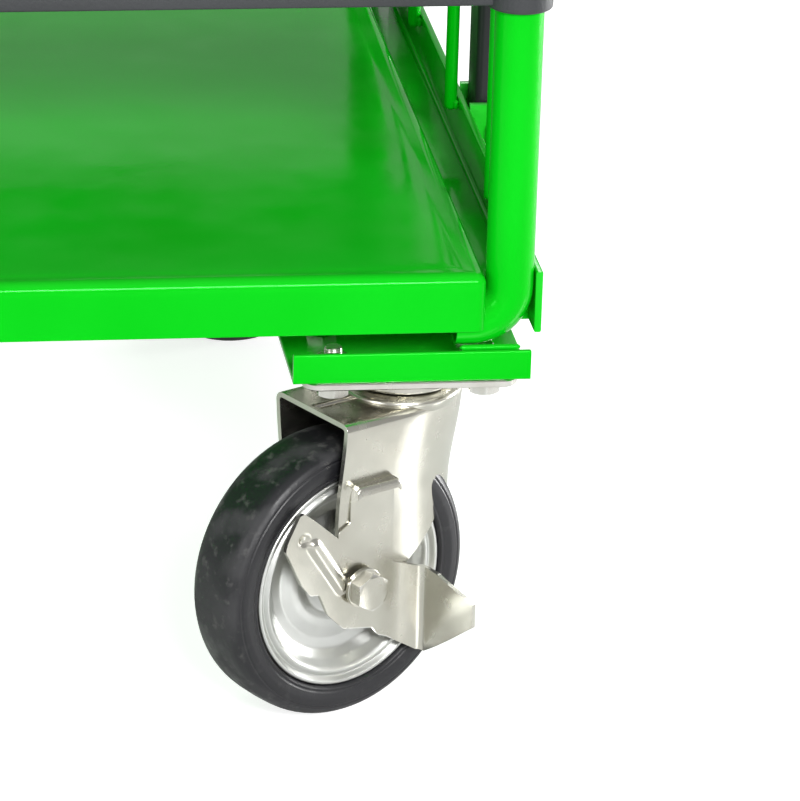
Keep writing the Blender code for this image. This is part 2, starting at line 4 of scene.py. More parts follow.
import bmesh
import bpy
import numpy as np
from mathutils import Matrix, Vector


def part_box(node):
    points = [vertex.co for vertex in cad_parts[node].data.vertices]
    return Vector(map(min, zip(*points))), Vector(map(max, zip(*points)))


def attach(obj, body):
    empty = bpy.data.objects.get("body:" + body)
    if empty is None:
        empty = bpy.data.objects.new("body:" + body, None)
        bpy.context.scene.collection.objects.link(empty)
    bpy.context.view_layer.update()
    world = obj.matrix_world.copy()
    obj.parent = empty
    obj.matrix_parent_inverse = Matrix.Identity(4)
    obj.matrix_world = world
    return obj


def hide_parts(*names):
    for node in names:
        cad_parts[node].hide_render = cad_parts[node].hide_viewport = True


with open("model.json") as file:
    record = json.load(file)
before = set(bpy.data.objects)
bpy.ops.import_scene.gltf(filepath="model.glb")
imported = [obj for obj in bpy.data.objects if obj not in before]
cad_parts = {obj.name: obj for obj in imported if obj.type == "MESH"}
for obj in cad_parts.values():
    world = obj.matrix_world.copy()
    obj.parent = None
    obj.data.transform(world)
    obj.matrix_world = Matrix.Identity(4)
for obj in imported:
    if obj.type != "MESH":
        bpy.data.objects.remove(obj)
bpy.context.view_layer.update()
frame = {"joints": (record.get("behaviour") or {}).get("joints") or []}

joints = {joint["name"]: joint for joint in frame["joints"]}
mm = 0.001
turn = 2 * np.pi


def gridFaces(rows, columns, closed=True):
    # quads between neighbouring rows; the last column joins the first when closed
    index = np.arange(rows * columns).reshape(rows, columns)
    if closed:
        index = np.concatenate([index, index[:, :1]], axis=1)
    quads = np.stack([index[:-1, :-1], index[:-1, 1:], index[1:, 1:], index[1:, :-1]], axis=-1)
    return quads.reshape(-1, 4)


def loft(loops, capFirst=True, capLast=True):
    # rows of closed loops joined by quads, with a flat face over either end
    loops = np.asarray(loops, float)
    rows, columns = loops.shape[:2]
    faces = gridFaces(rows, columns).tolist()
    if capFirst:
        faces.append(list(range(columns)))
    if capLast:
        faces.append(list(range((rows - 1) * columns, rows * columns)))
    return loops.reshape(-1, 3), faces


def thickSheet(grid, thickness):
    # an open grid and the same grid moved back along its normals, the cross product of its two
    # directions; quads join the two round their edges
    grid = np.asarray(grid, float)
    normals = np.cross(np.gradient(grid, axis=0), np.gradient(grid, axis=1))
    normals /= np.maximum(np.linalg.norm(normals, axis=2, keepdims=True), 1e-12)
    rows, columns = grid.shape[:2]
    count = rows * columns
    index = np.arange(count).reshape(rows, columns)
    edge = np.concatenate([index[0, :-1], index[:-1, -1], index[-1, :0:-1], index[:0:-1, 0]])
    after = np.roll(edge, -1)
    rim = np.stack([edge, after, after + count, edge + count], axis=1)
    flat = gridFaces(rows, columns, closed=False)
    faces = np.concatenate([flat, flat[:, ::-1] + count, rim]).tolist()
    back = grid - normals * thickness
    return np.concatenate([grid.reshape(-1, 3), back.reshape(-1, 3)]), faces


def circle(radius, count):
    # points at even angles: (r cos t, r sin t)
    t = np.arange(count) / count * turn
    return np.stack([radius * np.cos(t), radius * np.sin(t)], axis=1)


def roundedLoop(halfX, halfY, radius, steps=6):
    # a rectangle whose corners are quarter circles: each corner's centre + radius (cos t, sin t)
    t = np.linspace(0, np.pi / 2, steps + 1)
    rows = []
    for quarter, (signX, signY) in enumerate(((1, 1), (-1, 1), (-1, -1), (1, -1))):
        angle = t + quarter * np.pi / 2
        centre = np.array([signX * (halfX - radius), signY * (halfY - radius)])
        rows.append(centre + radius * np.stack([np.cos(angle), np.sin(angle)], axis=1))
    return np.concatenate(rows)


def cutCorners(before, corner, after, radius, steps):
    # each corner gives way to (1 - t)² a + 2t (1 - t) corner + t² b, where a and b lie on its two
    # sides at the radius, or at 0.45 of the shorter side
    toBefore = before - corner
    toAfter = after - corner
    lengthBefore = np.linalg.norm(toBefore, axis=1, keepdims=True)
    lengthAfter = np.linalg.norm(toAfter, axis=1, keepdims=True)
    cut = np.minimum(radius, 0.45 * np.minimum(lengthBefore, lengthAfter))
    first = (corner + toBefore / lengthBefore * cut)[:, None]
    last = (corner + toAfter / lengthAfter * cut)[:, None]
    t = np.linspace(0, 1, steps + 1)[None, :, None]
    curve = (1 - t) ** 2 * first + 2 * t * (1 - t) * corner[:, None] + t ** 2 * last
    return curve.reshape(-1, 2)


def softOutline(points, radius, steps=4):
    # a closed outline with every corner cut
    points = np.asarray(points, float)
    return cutCorners(np.roll(points, 1, axis=0), points, np.roll(points, -1, axis=0), radius, steps)


def carry(section, path, up, capEnds=True):
    # a closed section carried along a path: point + x across + y lifted, where across is square to the
    # path and to `up`, and lifted is square to both; the section may change from point to point
    path = np.asarray(path, float)
    along = np.gradient(path, axis=0)
    along /= np.linalg.norm(along, axis=1, keepdims=True)
    across = np.cross(along, up)
    across /= np.linalg.norm(across, axis=1, keepdims=True)
    lifted = np.cross(across, along)
    loops = path[:, None] + section[..., :1] * across[:, None] + section[..., 1:] * lifted[:, None]
    return loft(loops, capEnds, capEnds)


def spun(profile, count):
    # a profile of (radius, height) turned about Z: (radius cos t, radius sin t, height)
    profile = np.asarray(profile, float)
    t = np.arange(count) / count * turn
    ring = np.stack([np.cos(t), np.sin(t), np.zeros(count)], axis=1)
    return profile[:, :1, None] * ring + profile[:, 1:, None] * np.array([0, 0, 1.0])


def smoothProfile(points, radius, steps=4):
    # an open profile that keeps its two ends, with the corners between them cut
    points = np.asarray(points, float)
    curve = cutCorners(points[:-2], points[1:-1], points[2:], radius, steps)
    return np.concatenate([points[:1], curve, points[-1:]])


def hexHead(acrossFlats, height, count=72):
    # radius = half the flats / cos(angle from the nearest flat's middle); the top corners fall away as
    # a cone, down from a flat circle that lies inside the flats
    t = np.arange(count) / count * turn
    inner = acrossFlats / 2
    hexagon = inner / np.cos((t + np.pi / 6) % (np.pi / 3) - np.pi / 6)
    drop = (hexagon - inner) * 0.55
    level = np.ones(count) * height
    radii = np.stack([hexagon * 0.985, hexagon, hexagon, inner * 0.95 + 0 * t, inner * 0.9 + 0 * t])
    levels = np.stack([0 * level, 0.02 * level, 0.98 * level - drop, 0.985 * level, level])
    return np.stack([radii * np.cos(t), radii * np.sin(t), levels], axis=-1)


def threadedEnd(radius, low, high, pitch=1.5 * mm, count=20):
    # a rod whose radius rises and falls once for each pitch, with a chamfered tip
    level = np.linspace(low, high, int((high - low) / pitch * 4) + 2)
    wave = radius - 0.35 * mm * (0.5 + 0.5 * np.sin(level / pitch * turn))
    wave = np.minimum(wave, radius - np.clip(level - high + 1.2 * mm, 0, None) * 0.8)
    return spun(np.stack([wave, level], axis=1), count)


def alongY(points):
    # (x, y, z) becomes (x, z, -y), so that a turned shape lies along +Y
    points = np.asarray(points, float)
    return np.stack([points[..., 0], points[..., 2], -points[..., 1]], axis=-1)


def shifted(part, offset):
    # every point plus the offset
    return part[0] + np.asarray(offset, float), part[1]


def makePiece(name, parts, body, material, nodes=(), bevel=0.0, sharp=38):
    # joins the parts in one mesh, closes its seams and turns its faces outwards
    points = []
    faces = []
    start = 0
    for partPoints, partFaces in parts:
        points.append(partPoints)
        faces += [[corner + start for corner in face] for face in partFaces]
        start += len(partPoints)
    mesh = bpy.data.meshes.new(name)
    mesh.from_pydata(np.concatenate(points).tolist(), [], faces)
    work = bmesh.new()
    work.from_mesh(mesh)
    bmesh.ops.remove_doubles(work, verts=work.verts, dist=1e-5)
    bmesh.ops.dissolve_degenerate(work, edges=work.edges, dist=1e-6)
    bmesh.ops.recalc_face_normals(work, faces=work.faces)
    work.to_mesh(mesh)
    work.free()
    mesh.materials.append(material)
    mesh.shade_smooth()
    mesh.set_sharp_from_angle(angle=radians(sharp))
    piece = bpy.data.objects.new(name, mesh)
    bpy.context.scene.collection.objects.link(piece)
    if bevel:
        edge = piece.modifiers.new("softEdge", "BEVEL")
        edge.width = bevel
        edge.segments = 2
        edge.limit_method = "ANGLE"
        edge.angle_limit = radians(35)
        edge.harden_normals = False
    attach(piece, body)
    if nodes:
        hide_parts(*nodes)
    return piece


def uprightPlate(outline, faces, sign):
    # a flat plate standing in XZ: its outline (x, z) repeated at each Y, in mm, and drawn in towards its
    # middle by the factor beside that Y
    middle = outline.mean(axis=0)
    rows = []
    for y, grow in faces:
        drawn = middle + (outline - middle) * grow
        rows.append(np.stack([drawn[:, 0], np.full(len(drawn), sign * y * mm), drawn[:, 1]], axis=1))
    return loft(rows)


def startGroup(name, inputs, outputs):
    # a node group of plain numbers, with its inputs' starting values
    tree = bpy.data.node_groups.new(name, "ShaderNodeTree")
    for title, value in inputs.items():
        socket = tree.interface.new_socket(name=title, in_out="INPUT", socket_type="NodeSocketFloat")
        socket.default_value = value
    for title in outputs:
        tree.interface.new_socket(name=title, in_out="OUTPUT", socket_type="NodeSocketFloat")
    return tree, tree.nodes.new("NodeGroupInput"), tree.nodes.new("NodeGroupOutput")


def addMath(tree, operation, first, second, clamp=False):
    # one sum of two values, each a number or a link
    node = tree.nodes.new("ShaderNodeMath")
    node.operation = operation
    node.use_clamp = clamp
    for slot, value in zip(node.inputs, (first, second)):
        if isinstance(value, (int, float)):
            slot.default_value = value
        else:
            tree.links.new(value, slot)
    return node.outputs[0]


def objectNoise(tree, scale, detail=2.0):
    # noise on object coordinates, with its scale from a group input
    place = tree.nodes.new("ShaderNodeTexCoord")
    noise = tree.nodes.new("ShaderNodeTexNoise")
    noise.inputs["Detail"].default_value = detail
    tree.links.new(place.outputs["Object"], noise.inputs["Vector"])
    tree.links.new(scale, noise.inputs["Scale"])
    return noise


def stretched(tree, value, given):
    # a value stretched so that Low becomes 0 and High becomes 1
    spread = tree.nodes.new("ShaderNodeMapRange")
    tree.links.new(value, spread.inputs["Value"])
    tree.links.new(given.outputs["Low"], spread.inputs["From Min"])
    tree.links.new(given.outputs["High"], spread.inputs["From Max"])
    return spread.outputs["Result"]


def mottleGroup():
    # noise stretched between Low and High: uneven film, grain and peel
    inputs = {"Scale": 20.0, "Detail": 4.0, "Low": 0.4, "High": 0.6}
    tree, given, result = startGroup("mottle", inputs, ["Mask"])
    noise = objectNoise(tree, given.outputs["Scale"])
    tree.links.new(given.outputs["Detail"], noise.inputs["Detail"])
    tree.links.new(stretched(tree, noise.outputs["Fac"], given), result.inputs["Mask"])
    return tree


def edgeWearAndHighlightGroup():
    # pointiness of convex edges, stretched and multiplied by noise
    tree, given, result = startGroup("edgeWear", {"Low": 0.52, "High": 0.6, "Breakup": 60.0}, ["Mask"])
    shape = tree.nodes.new("ShaderNodeNewGeometry")
    noise = objectNoise(tree, given.outputs["Breakup"], 5.0)
    sharp = stretched(tree, shape.outputs["Pointiness"], given)
    broken = addMath(tree, "MULTIPLY", sharp, noise.outputs["Fac"])
    tree.links.new(addMath(tree, "MULTIPLY", broken, 1.6, clamp=True), result.inputs["Mask"])
    return tree


def dustGroup():
    # the upward part of the normal times noise times Amount: dust lies in soft patches on what looks up
    tree, given, result = startGroup("settledDust", {"Amount": 0.3, "Scale": 9.0}, ["Mask"])
    shape = tree.nodes.new("ShaderNodeNewGeometry")
    split = tree.nodes.new("ShaderNodeSeparateXYZ")
    noise = objectNoise(tree, given.outputs["Scale"], 6.0)
    tree.links.new(shape.outputs["Normal"], split.inputs[0])
    facing = addMath(tree, "MAXIMUM", split.outputs["Z"], 0.0)
    patch = addMath(tree, "MULTIPLY", facing, noise.outputs["Fac"])
    amount = addMath(tree, "MULTIPLY", patch, given.outputs["Amount"], clamp=True)
    tree.links.new(amount, result.inputs["Mask"])
    return tree


mottle = mottleGroup()
edgeWear = edgeWearAndHighlightGroup()
settledDust = dustGroup()


class Finish:
    # one material under way: a Principled shader and short ways to reach its sockets
    def __init__(self, name, colour, roughness, metallic=0.0, **fixed):
        self.material = bpy.data.materials.new(name)
        self.material.use_nodes = True
        self.tree = self.material.node_tree
        self.shader = self.tree.nodes["Principled BSDF"]
        self.shader.inputs["Base Color"].default_value = (*colour, 1)
        self.shader.inputs["Roughness"].default_value = roughness
        self.shader.inputs["Metallic"].default_value = metallic
        for title, value in fixed.items():
            self.shader.inputs[title.replace("_", " ")].default_value = value
        self.heights = []

    def group(self, tree, **values):
        # a shared node group with this finish's own values
        node = self.tree.nodes.new("ShaderNodeGroup")
        node.node_tree = tree
        for title, value in values.items():
            node.inputs[title].default_value = value
        return node.outputs[0]

    def mottled(self, scale, detail, low, high):
        # noise in which low becomes 0 and high becomes 1
        return self.group(mottle, Scale=scale, Detail=detail, Low=low, High=high)

    def colours(self, mask, first, second):
        # a mix of two colours, or of a link and a colour, by a mask
        node = self.tree.nodes.new("ShaderNodeMix")
        node.data_type = "RGBA"
        self.tree.links.new(mask, node.inputs["Factor"])
        for title, value in (("A", first), ("B", second)):
            socket = [s for s in node.inputs if s.name == title and s.type == "RGBA"][0]
            if isinstance(value, tuple):
                socket.default_value = (*value, 1)
            else:
                self.tree.links.new(value, socket)
        return [s for s in node.outputs if s.type == "RGBA"][0]

    def between(self, mask, low, high):
        # low + mask × (high - low)
        node = self.tree.nodes.new("ShaderNodeMapRange")
        node.inputs["To Min"].default_value = low
        node.inputs["To Max"].default_value = high
        self.tree.links.new(mask, node.inputs["Value"])
        return node.outputs["Result"]

    def feed(self, title, output):
        # links an output to one of the shader's sockets
        self.tree.links.new(output, self.shader.inputs[title])

    def height(self, mask, amount):
        # mask × amount, kept for the bump
        self.heights.append(addMath(self.tree, "MULTIPLY", mask, amount))

    def attribute(self, name):
        # a number stored on the piece's points
        node = self.tree.nodes.new("ShaderNodeAttribute")
        node.attribute_name = name
        return node.outputs["Fac"]

    def done(self):
        # all the heights are metres, so one Bump turns them into the normal
        total = self.heights[0]
        for height in self.heights[1:]:
            total = addMath(self.tree, "ADD", total, height)
        bump = self.tree.nodes.new("ShaderNodeBump")
        bump.inputs["Distance"].default_value = 1.0
        bump.inputs["Strength"].default_value = 1.0
        self.tree.links.new(total, bump.inputs["Height"])
        self.feed("Normal", bump.outputs["Normal"])
        return self.material


def greenEnamel():
    # bright powder coat: wet gloss, faint orange peel, a painted highlight of paler green along the convex
    # edges, a little dust
    look = {"deep": (0.0, 0.39, 0.003), "fresh": (0.002, 0.46, 0.008), "edge": (0.1, 0.8, 0.12),
            "dust": (0.3, 0.6, 0.25), "tint": (0.12, 1.0, 0.16, 1.0), "gloss": (0.08, 0.2)}
    finish = Finish("greenEnamel", look["fresh"], 0.13, Specular_Tint=look["tint"], IOR=1.4)
    broad = finish.mottled(4.5, 3.0, 0.36, 0.66)
    peel = finish.mottled(420.0, 2.0, 0.25, 0.75)
    # the edge mask here paints a highlight: the paler green on convex edges stands for light catching them
    worn = finish.group(edgeWear, Low=0.56, High=0.7, Breakup=45.0)
    dust = finish.group(settledDust, Amount=0.04, Scale=7.0)
    colour = finish.colours(broad, look["deep"], look["fresh"])
    colour = finish.colours(worn, colour, look["edge"])
    finish.feed("Base Color", finish.colours(dust, colour, look["dust"]))
    finish.feed("Roughness", finish.between(finish.mottled(23.0, 5.0, 0.35, 0.7), *look["gloss"]))
    finish.height(peel, 0.01 * mm)
    finish.height(broad, 0.5 * mm)
    return finish.done()


def zincPlate(name, pale, tarnish, low, high):
    # bright zinc: cloudy, slightly straw-coloured, with fine pits and rubbed edges
    finish = Finish(name, pale, low, 1.0)
    cloud = finish.mottled(30.0, 5.0, 0.35, 0.75)
    fine = finish.mottled(700.0, 2.0, 0.3, 0.7)
    worn = finish.group(edgeWear, Low=0.53, High=0.62, Breakup=80.0)
    colour = finish.colours(cloud, pale, tarnish)
    finish.feed("Base Color", finish.colours(worn, colour, (0.92, 0.92, 0.9)))
    finish.feed("Roughness", finish.between(finish.mottled(90.0, 6.0, 0.3, 0.7), low, high))
    finish.height(fine, 0.006 * mm)
    finish.height(cloud, 0.02 * mm)
    return finish.done()


def blackRubber():
    # solid rubber: nearly black sidewall, grey scuffed tread, mould grain
    look = {"rubber": (0.009, 0.009, 0.011), "scuff": (0.032, 0.032, 0.034), "dust": (0.06, 0.059, 0.058)}
    finish = Finish("blackRubber", look["rubber"], 0.6)
    tread = finish.between(finish.attribute("treadShare"), 0.0, 1.0)
    scuffs = finish.mottled(45.0, 9.0, 0.44, 0.62)
    grit = finish.mottled(160.0, 6.0, 0.56, 0.74)
    rubbed = addMath(finish.tree, "MULTIPLY", tread, scuffs, clamp=True)
    colour = finish.colours(rubbed, look["rubber"], look["scuff"])
    catching = addMath(finish.tree, "ADD", tread, 0.15)
    gritty = addMath(finish.tree, "MULTIPLY", grit, catching, clamp=True)
    finish.feed("Base Color", finish.colours(gritty, colour, look["dust"]))
    finish.feed("Roughness", finish.between(rubbed, 0.42, 0.85))
    finish.height(scuffs, 0.12 * mm)
    finish.height(grit, 0.1 * mm)
    return finish.done()


def blackMoulding():
    # textured polymer: pebble grain, slight sheen, paler rubbed corners
    look = {"body": (0.02, 0.022, 0.024), "cloud": (0.03, 0.033, 0.036), "rubbed": (0.07, 0.075, 0.078),
            "dust": (0.16, 0.155, 0.14)}
    finish = Finish("blackMoulding", look["body"], 0.55)
    worn = finish.group(edgeWear, Low=0.57, High=0.7, Breakup=30.0)
    pebble = finish.mottled(520.0, 3.0, 0.3, 0.7)
    cloud = finish.mottled(6.0, 5.0, 0.35, 0.7)
    dust = finish.group(settledDust, Amount=0.25, Scale=12.0)
    colour = finish.colours(cloud, look["body"], look["cloud"])
    colour = finish.colours(worn, colour, look["rubbed"])
    finish.feed("Base Color", finish.colours(dust, colour, look["dust"]))
    finish.feed("Roughness", finish.between(cloud, 0.45, 0.68))
    finish.height(pebble, 0.09 * mm)
    finish.height(cloud, 0.4 * mm)
    return finish.done()


def blackEnamel():
    # satin black paint, chipped pale at the corners
    look = {"paint": (0.01, 0.011, 0.012), "deep": (0.008, 0.009, 0.01), "worn": (0.016, 0.017, 0.019),
            "bare": (0.24, 0.23, 0.22)}
    finish = Finish("blackEnamel", look["paint"], 0.35, IOR=1.4)
    worn = finish.group(edgeWear, Low=0.66, High=0.8, Breakup=70.0)
    cloud = finish.mottled(14.0, 6.0, 0.35, 0.7)
    colour = finish.colours(cloud, look["deep"], look["worn"])
    finish.feed("Base Color", finish.colours(worn, colour, look["bare"]))
    finish.feed("Roughness", finish.between(cloud, 0.28, 0.48))
    finish.height(finish.mottled(350.0, 2.0, 0.3, 0.7), 0.02 * mm)
    return finish.done()


green = greenEnamel()
zinc = zincPlate("zincPlate", (0.62, 0.61, 0.545), (0.53, 0.515, 0.45), 0.2, 0.29)
rimZinc = zincPlate("zincRim", (0.66, 0.67, 0.65), (0.58, 0.59, 0.56), 0.32, 0.46)
rubber = blackRubber()
moulding = blackMoulding()
enamel = blackEnamel()
print("materials made")


post = {"bend": 20 * mm, "wall": 2 * mm, "mouth": 12 * mm, "around": 40}
# the sides that each corner lies on, along X and Y
corners = {"near_tow": (1, -1), "far_tow": (1, 1), "near_rear": (-1, -1), "far_rear": (-1, 1)}


def boxOf(node):
    # a CAD node's low and high corners, its middle and its half size
    low, high = (np.array(corner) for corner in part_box(node))
    return low, high, (low + high) / 2, (high - low) / 2


def makeTray():
    # loops grow outwards over the flat, turn down through a quarter circle and run down the lips; the
    # inside is the same loops drawn in and lowered by the sheet
    tray = {"fold": 6 * mm, "sheet": 2 * mm, "corner": 5 * mm,
            "flat": ((60, 0), (22, 0), (17, 0), (14, 0.2), (11, 0.5), (7, 0))}  # inset and dip, in mm
    high, centre, half = boxOf("lower_tray")[1:]
    fold, sheet, top = tray["fold"], tray["sheet"], high[2]

    def loopAt(inset, level):
        outline = roundedLoop(half[0] - inset, half[1] - inset, max(tray["corner"] - inset, 0.5 * mm), 8)
        return np.column_stack([outline + centre[:2], np.full(len(outline), level)])

    rows = [loopAt(inset * mm, top - dip * mm) for inset, dip in tray["flat"]]
    for angle in np.linspace(0, np.pi / 2, 8):
        rows.append(loopAt(fold * (1 - np.sin(angle)), top - fold * (1 - np.cos(angle))))
    for share in np.linspace(0.15, 1, 6):
        rows.append(loopAt(0, top - fold - share * (2 * half[2] - fold)))
    outer = np.array(rows)
    inner = outer.copy()
    inner[..., :2] = (inner[..., :2] - centre[:2]) * (half[:2] - sheet) / half[:2] + centre[:2]
    inner[..., 2] -= np.where(inner[..., 2] > top - fold - 0.001 * mm, sheet, 0)
    shell = np.concatenate([outer, inner[::-1]])
    makePiece("lowerTray", [loft(shell)], "cart", green, ["lower_tray"], bevel=0.3 * mm)


def postPath(node, signX):
    # straight down, a quarter circle inwards, and a short straight foot
    low, high, centre, half = boxOf(node)
    radius, bend = half[1], post["bend"]
    x = (high[0] if signX > 0 else low[0]) - signX * radius
    footZ = low[2] + radius
    end = (low[0] if signX > 0 else high[0])
    t = np.linspace(0, np.pi / 2, 14)
    vertical = [(x, high[2]), (x, (high[2] + footZ + bend) / 2)]
    arc = np.stack([x - signX * bend * (1 - np.cos(t)), footZ + bend * (1 - np.sin(t))], axis=1)
    flat = np.concatenate([vertical, arc, [(end, footZ)]])
    return np.stack([flat[:, 0], np.full(len(flat), centre[1]), flat[:, 1]], axis=1), radius


def makePosts():
    # a circle carried along the post's path, with an open, thick-walled foot and a closed top
    around = post["around"]
    blank = np.zeros(around)
    for name, (signX, _) in corners.items():
        path, radius = postPath("post_" + name, signX)
        bore = radius - post["wall"]
        tube = carry(circle(radius, around), path, (0, 1, 0), capEnds=False)
        along = path[-1] - path[-2]
        along /= np.linalg.norm(along)
        rings = []
        for size, back in ((radius, 0), (radius - 0.4 * mm, -0.3 * mm), (bore, 0), (bore, post["mouth"])):
            rings.append(path[-1] - along * back + np.column_stack([blank, circle(size, around)]))
        mouth = loft(rings, False, True)
        lid = [path[0] + np.column_stack([circle(size, around), blank]) for size in (radius, radius * 0.5)]
        parts = [tube, mouth, loft(lid, False, True)]
        makePiece("bentPost_" + name, parts, "cart", green, ["post_" + name])


def weldBead(path, radius, ripple=0.12):
    # a half-sunk cord of metal: its thickness is the radius less a cosine ripple along its run, and both
    # ends taper as a quarter sine
    path = np.asarray(path, float)
    steps = np.linalg.norm(np.diff(path, axis=0), axis=1)
    run = np.concatenate([[0], np.cumsum(steps)])
    even = np.linspace(0, run[-1], max(int(run[-1] / (radius * 0.35)), 8))
    smooth = np.stack([np.interp(even, run, path[:, i]) for i in range(3)], axis=1)
    size = radius * (1 - ripple * (0.5 + 0.5 * np.cos(even / (radius * 1.1) * turn)))
    size *= np.sin(np.clip(np.minimum(even, run[-1] - even) / radius, 0.12, 1) * np.pi / 2)
    along = np.gradient(smooth, axis=0)
    steep = np.abs(along[:, 2:]) > 0.9 * np.linalg.norm(along, axis=1, keepdims=True)
    up = np.where(steep, [[1.0, 0, 0]], [[0, 0, 1.0]])
    return carry(size[:, None, None] * circle(1.0, 10), smooth, up)


def makeSideAngles():
    # an L of two bars with soft edges and a fillet between them, each carried straight along Y
    angle = {"thick": 4 * mm, "soft": 1.1 * mm, "drawIn": 0.8 * mm, "fillet": 2.4 * mm, "postGap": 1 * mm}
    thick, soft, drawIn = angle["thick"], angle["soft"], angle["drawIn"]
    for name, sign in (("tow", 1), ("rear", -1)):
        low, high = boxOf("side_angle_" + name)[:2]
        legReach = abs(boxOf("post_near_" + name)[1][1]) - angle["postGap"]
        outer = high[0] if sign > 0 else low[0]
        leg, rise = high[0] - low[0], high[2] - low[2]
        upright = softOutline([(0, 0), (0, rise), (-thick, rise), (-thick, 0)], soft)
        shelf = softOutline([(0, 0), (0, thick), (-leg, thick), (-leg, 0)], soft)
        parts = []
        for section, reach in ((upright, high[1]), (shelf, legReach)):
            loops = np.zeros((4, len(section), 3))
            middle = section.mean(axis=0)
            spread = section - middle
            ends = ((-reach, 0.93), (drawIn - reach, 1), (reach - drawIn, 1), (reach, 0.93))
            for row, (y, grow) in enumerate(ends):
                loops[row, :, 0] = outer + sign * (middle[0] + spread[:, 0] * grow)
                loops[row, :, 1] = y
                loops[row, :, 2] = low[2] + middle[1] + spread[:, 1] * (1 - (1 - grow) * 0.1)
            parts.append(loft(loops))
        fillet = [(outer - sign * thick, y, low[2] + thick) for y in (-legReach, legReach)]
        parts.append(weldBead(fillet, angle["fillet"], 0.0))
        makePiece("sideAngle_" + name, parts, "cart", green, ["side_angle_" + name])


def makeFences():
    # a rounded rail carried straight along Y, and rods turned about Z: the rod's lower end is a flattened
    # quarter circle; two beads hold each rod to the angle
    fence = {"rod": 3.75 * mm, "pitch": 155 * mm, "bead": 1.8 * mm, "railLow": 412 * mm, "corner": 3 * mm}
    r, railLow = fence["rod"], fence["railLow"]
    for name, sign in (("tow", 1), ("rear", -1)):
        low, high, centre, half = boxOf("fence_" + name)
        x = (high[0] if sign > 0 else low[0]) - sign * (r + 0.3 * mm)
        rail = roundedLoop(half[0], (high[2] - railLow) / 2, fence["corner"])
        loops = np.zeros((2, len(rail), 3))
        loops[:, :, 0] = rail[:, 0] + centre[0]
        loops[:, :, 2] = rail[:, 1] + (high[2] + railLow) / 2
        loops[0, :, 1], loops[1, :, 1] = low[1], high[1]
        parts = [loft(loops)]
        t = np.linspace(0, np.pi / 2, 7)
        rod = np.stack([r * np.sin(t), low[2] + r * 0.8 * (1 - np.cos(t))], axis=1)
        rod[0, 0] = 0.05 * r
        rod = np.concatenate([rod, [(r, railLow + 4 * mm)]])
        inner = x + sign * (r * 0.75)
        top = boxOf("side_angle_" + name)[1][2] - 1 * mm
        for y in (-fence["pitch"], 0, fence["pitch"]):
            parts.append(shifted(loft(spun(rod, 24)), (x, y, 0)))
            for side in (-1, 1):
                bead = [(inner, y + side * r * 0.9, level) for level in (low[2] + 1 * mm, top)]
                parts.append(weldBead(bead, fence["bead"]))
        makePiece("rodFence_" + name, parts, "cart", green, ["fence_" + name])


def makeUpperRails():
    # a rounded rectangle carried straight along X
    rail = {"corner": 3 * mm}
    for name in ("near", "far"):
        low, high, centre, half = boxOf("upper_rail_" + name)
        outline = roundedLoop(half[1], half[2], rail["corner"]) + centre[1:]
        loops = [np.column_stack([np.full(len(outline), x), outline]) for x in (low[0], high[0])]
        makePiece("upperRail_" + name, [loft(loops)], "cart", green, ["upper_rail_" + name])


def makePans():
    # a folded section with rounded bends carried straight along X; towards each end its lowest parts rise
    # a touch, so that the edge catches light
    pan = {"thick": 3 * mm, "lipTop": 212 * mm, "bend": 1.3 * mm,
           "ends": ((0, 0.8), (0.3, 0.25), (1.2, 0))}  # distance from the end and rise, in mm
    thick, lipTop = pan["thick"], pan["lipTop"]
    for name, (_, sign) in corners.items():
        low, high = boxOf("castor_pan_" + name)[:2]
        front, back = (high[1], low[1]) if sign > 0 else (low[1], high[1])
        section = softOutline([
            (front, low[2]), (front, lipTop), (front - sign * thick, lipTop),
            (front - sign * thick, low[2] + thick), (back + sign * thick, low[2] + thick),
            (back + sign * thick, high[2]), (back, high[2]), (back, low[2]),
        ], pan["bend"])
        bottom = section[:, 1].min()
        stations = [(low[0] + step * mm, rise * mm) for step, rise in pan["ends"]]
        stations += [(high[0] - step * mm, rise * mm) for step, rise in reversed(pan["ends"])]
        loops = []
        for x, rise in stations:
            level = section[:, 1] + rise * 0.5 - np.clip(section[:, 1] - bottom, 0, rise)
            loops.append(np.column_stack([np.full(len(section), x), section[:, 0], level]))
        makePiece("castorPan_" + name, [loft(loops)], "cart", green,
                  ["castor_pan_" + name], sharp=50)


def makeWelds():
    # straight beads where the posts' feet meet the pans
    weld = {"bead": 1.9 * mm, "outBy": 293 * mm, "level": 212.4 * mm}
    parts = []
    for name, (signX, signY) in corners.items():
        path = postPath("post_" + name, signX)[0]
        run = np.linspace(path[-1][0] + signX * 2 * mm, path[0][0] + signX * 6 * mm, 12)
        bead = np.column_stack([run, np.full(12, signY * weld["outBy"]), np.full(12, weld["level"])])
        parts.append(weldBead(bead, weld["bead"]))
    makePiece("frameWelds", parts, "cart", green)


makeTray()
makePosts()
makeSideAngles()
makeFences()
makeUpperRails()
makePans()
makeWelds()
print("chassis made")


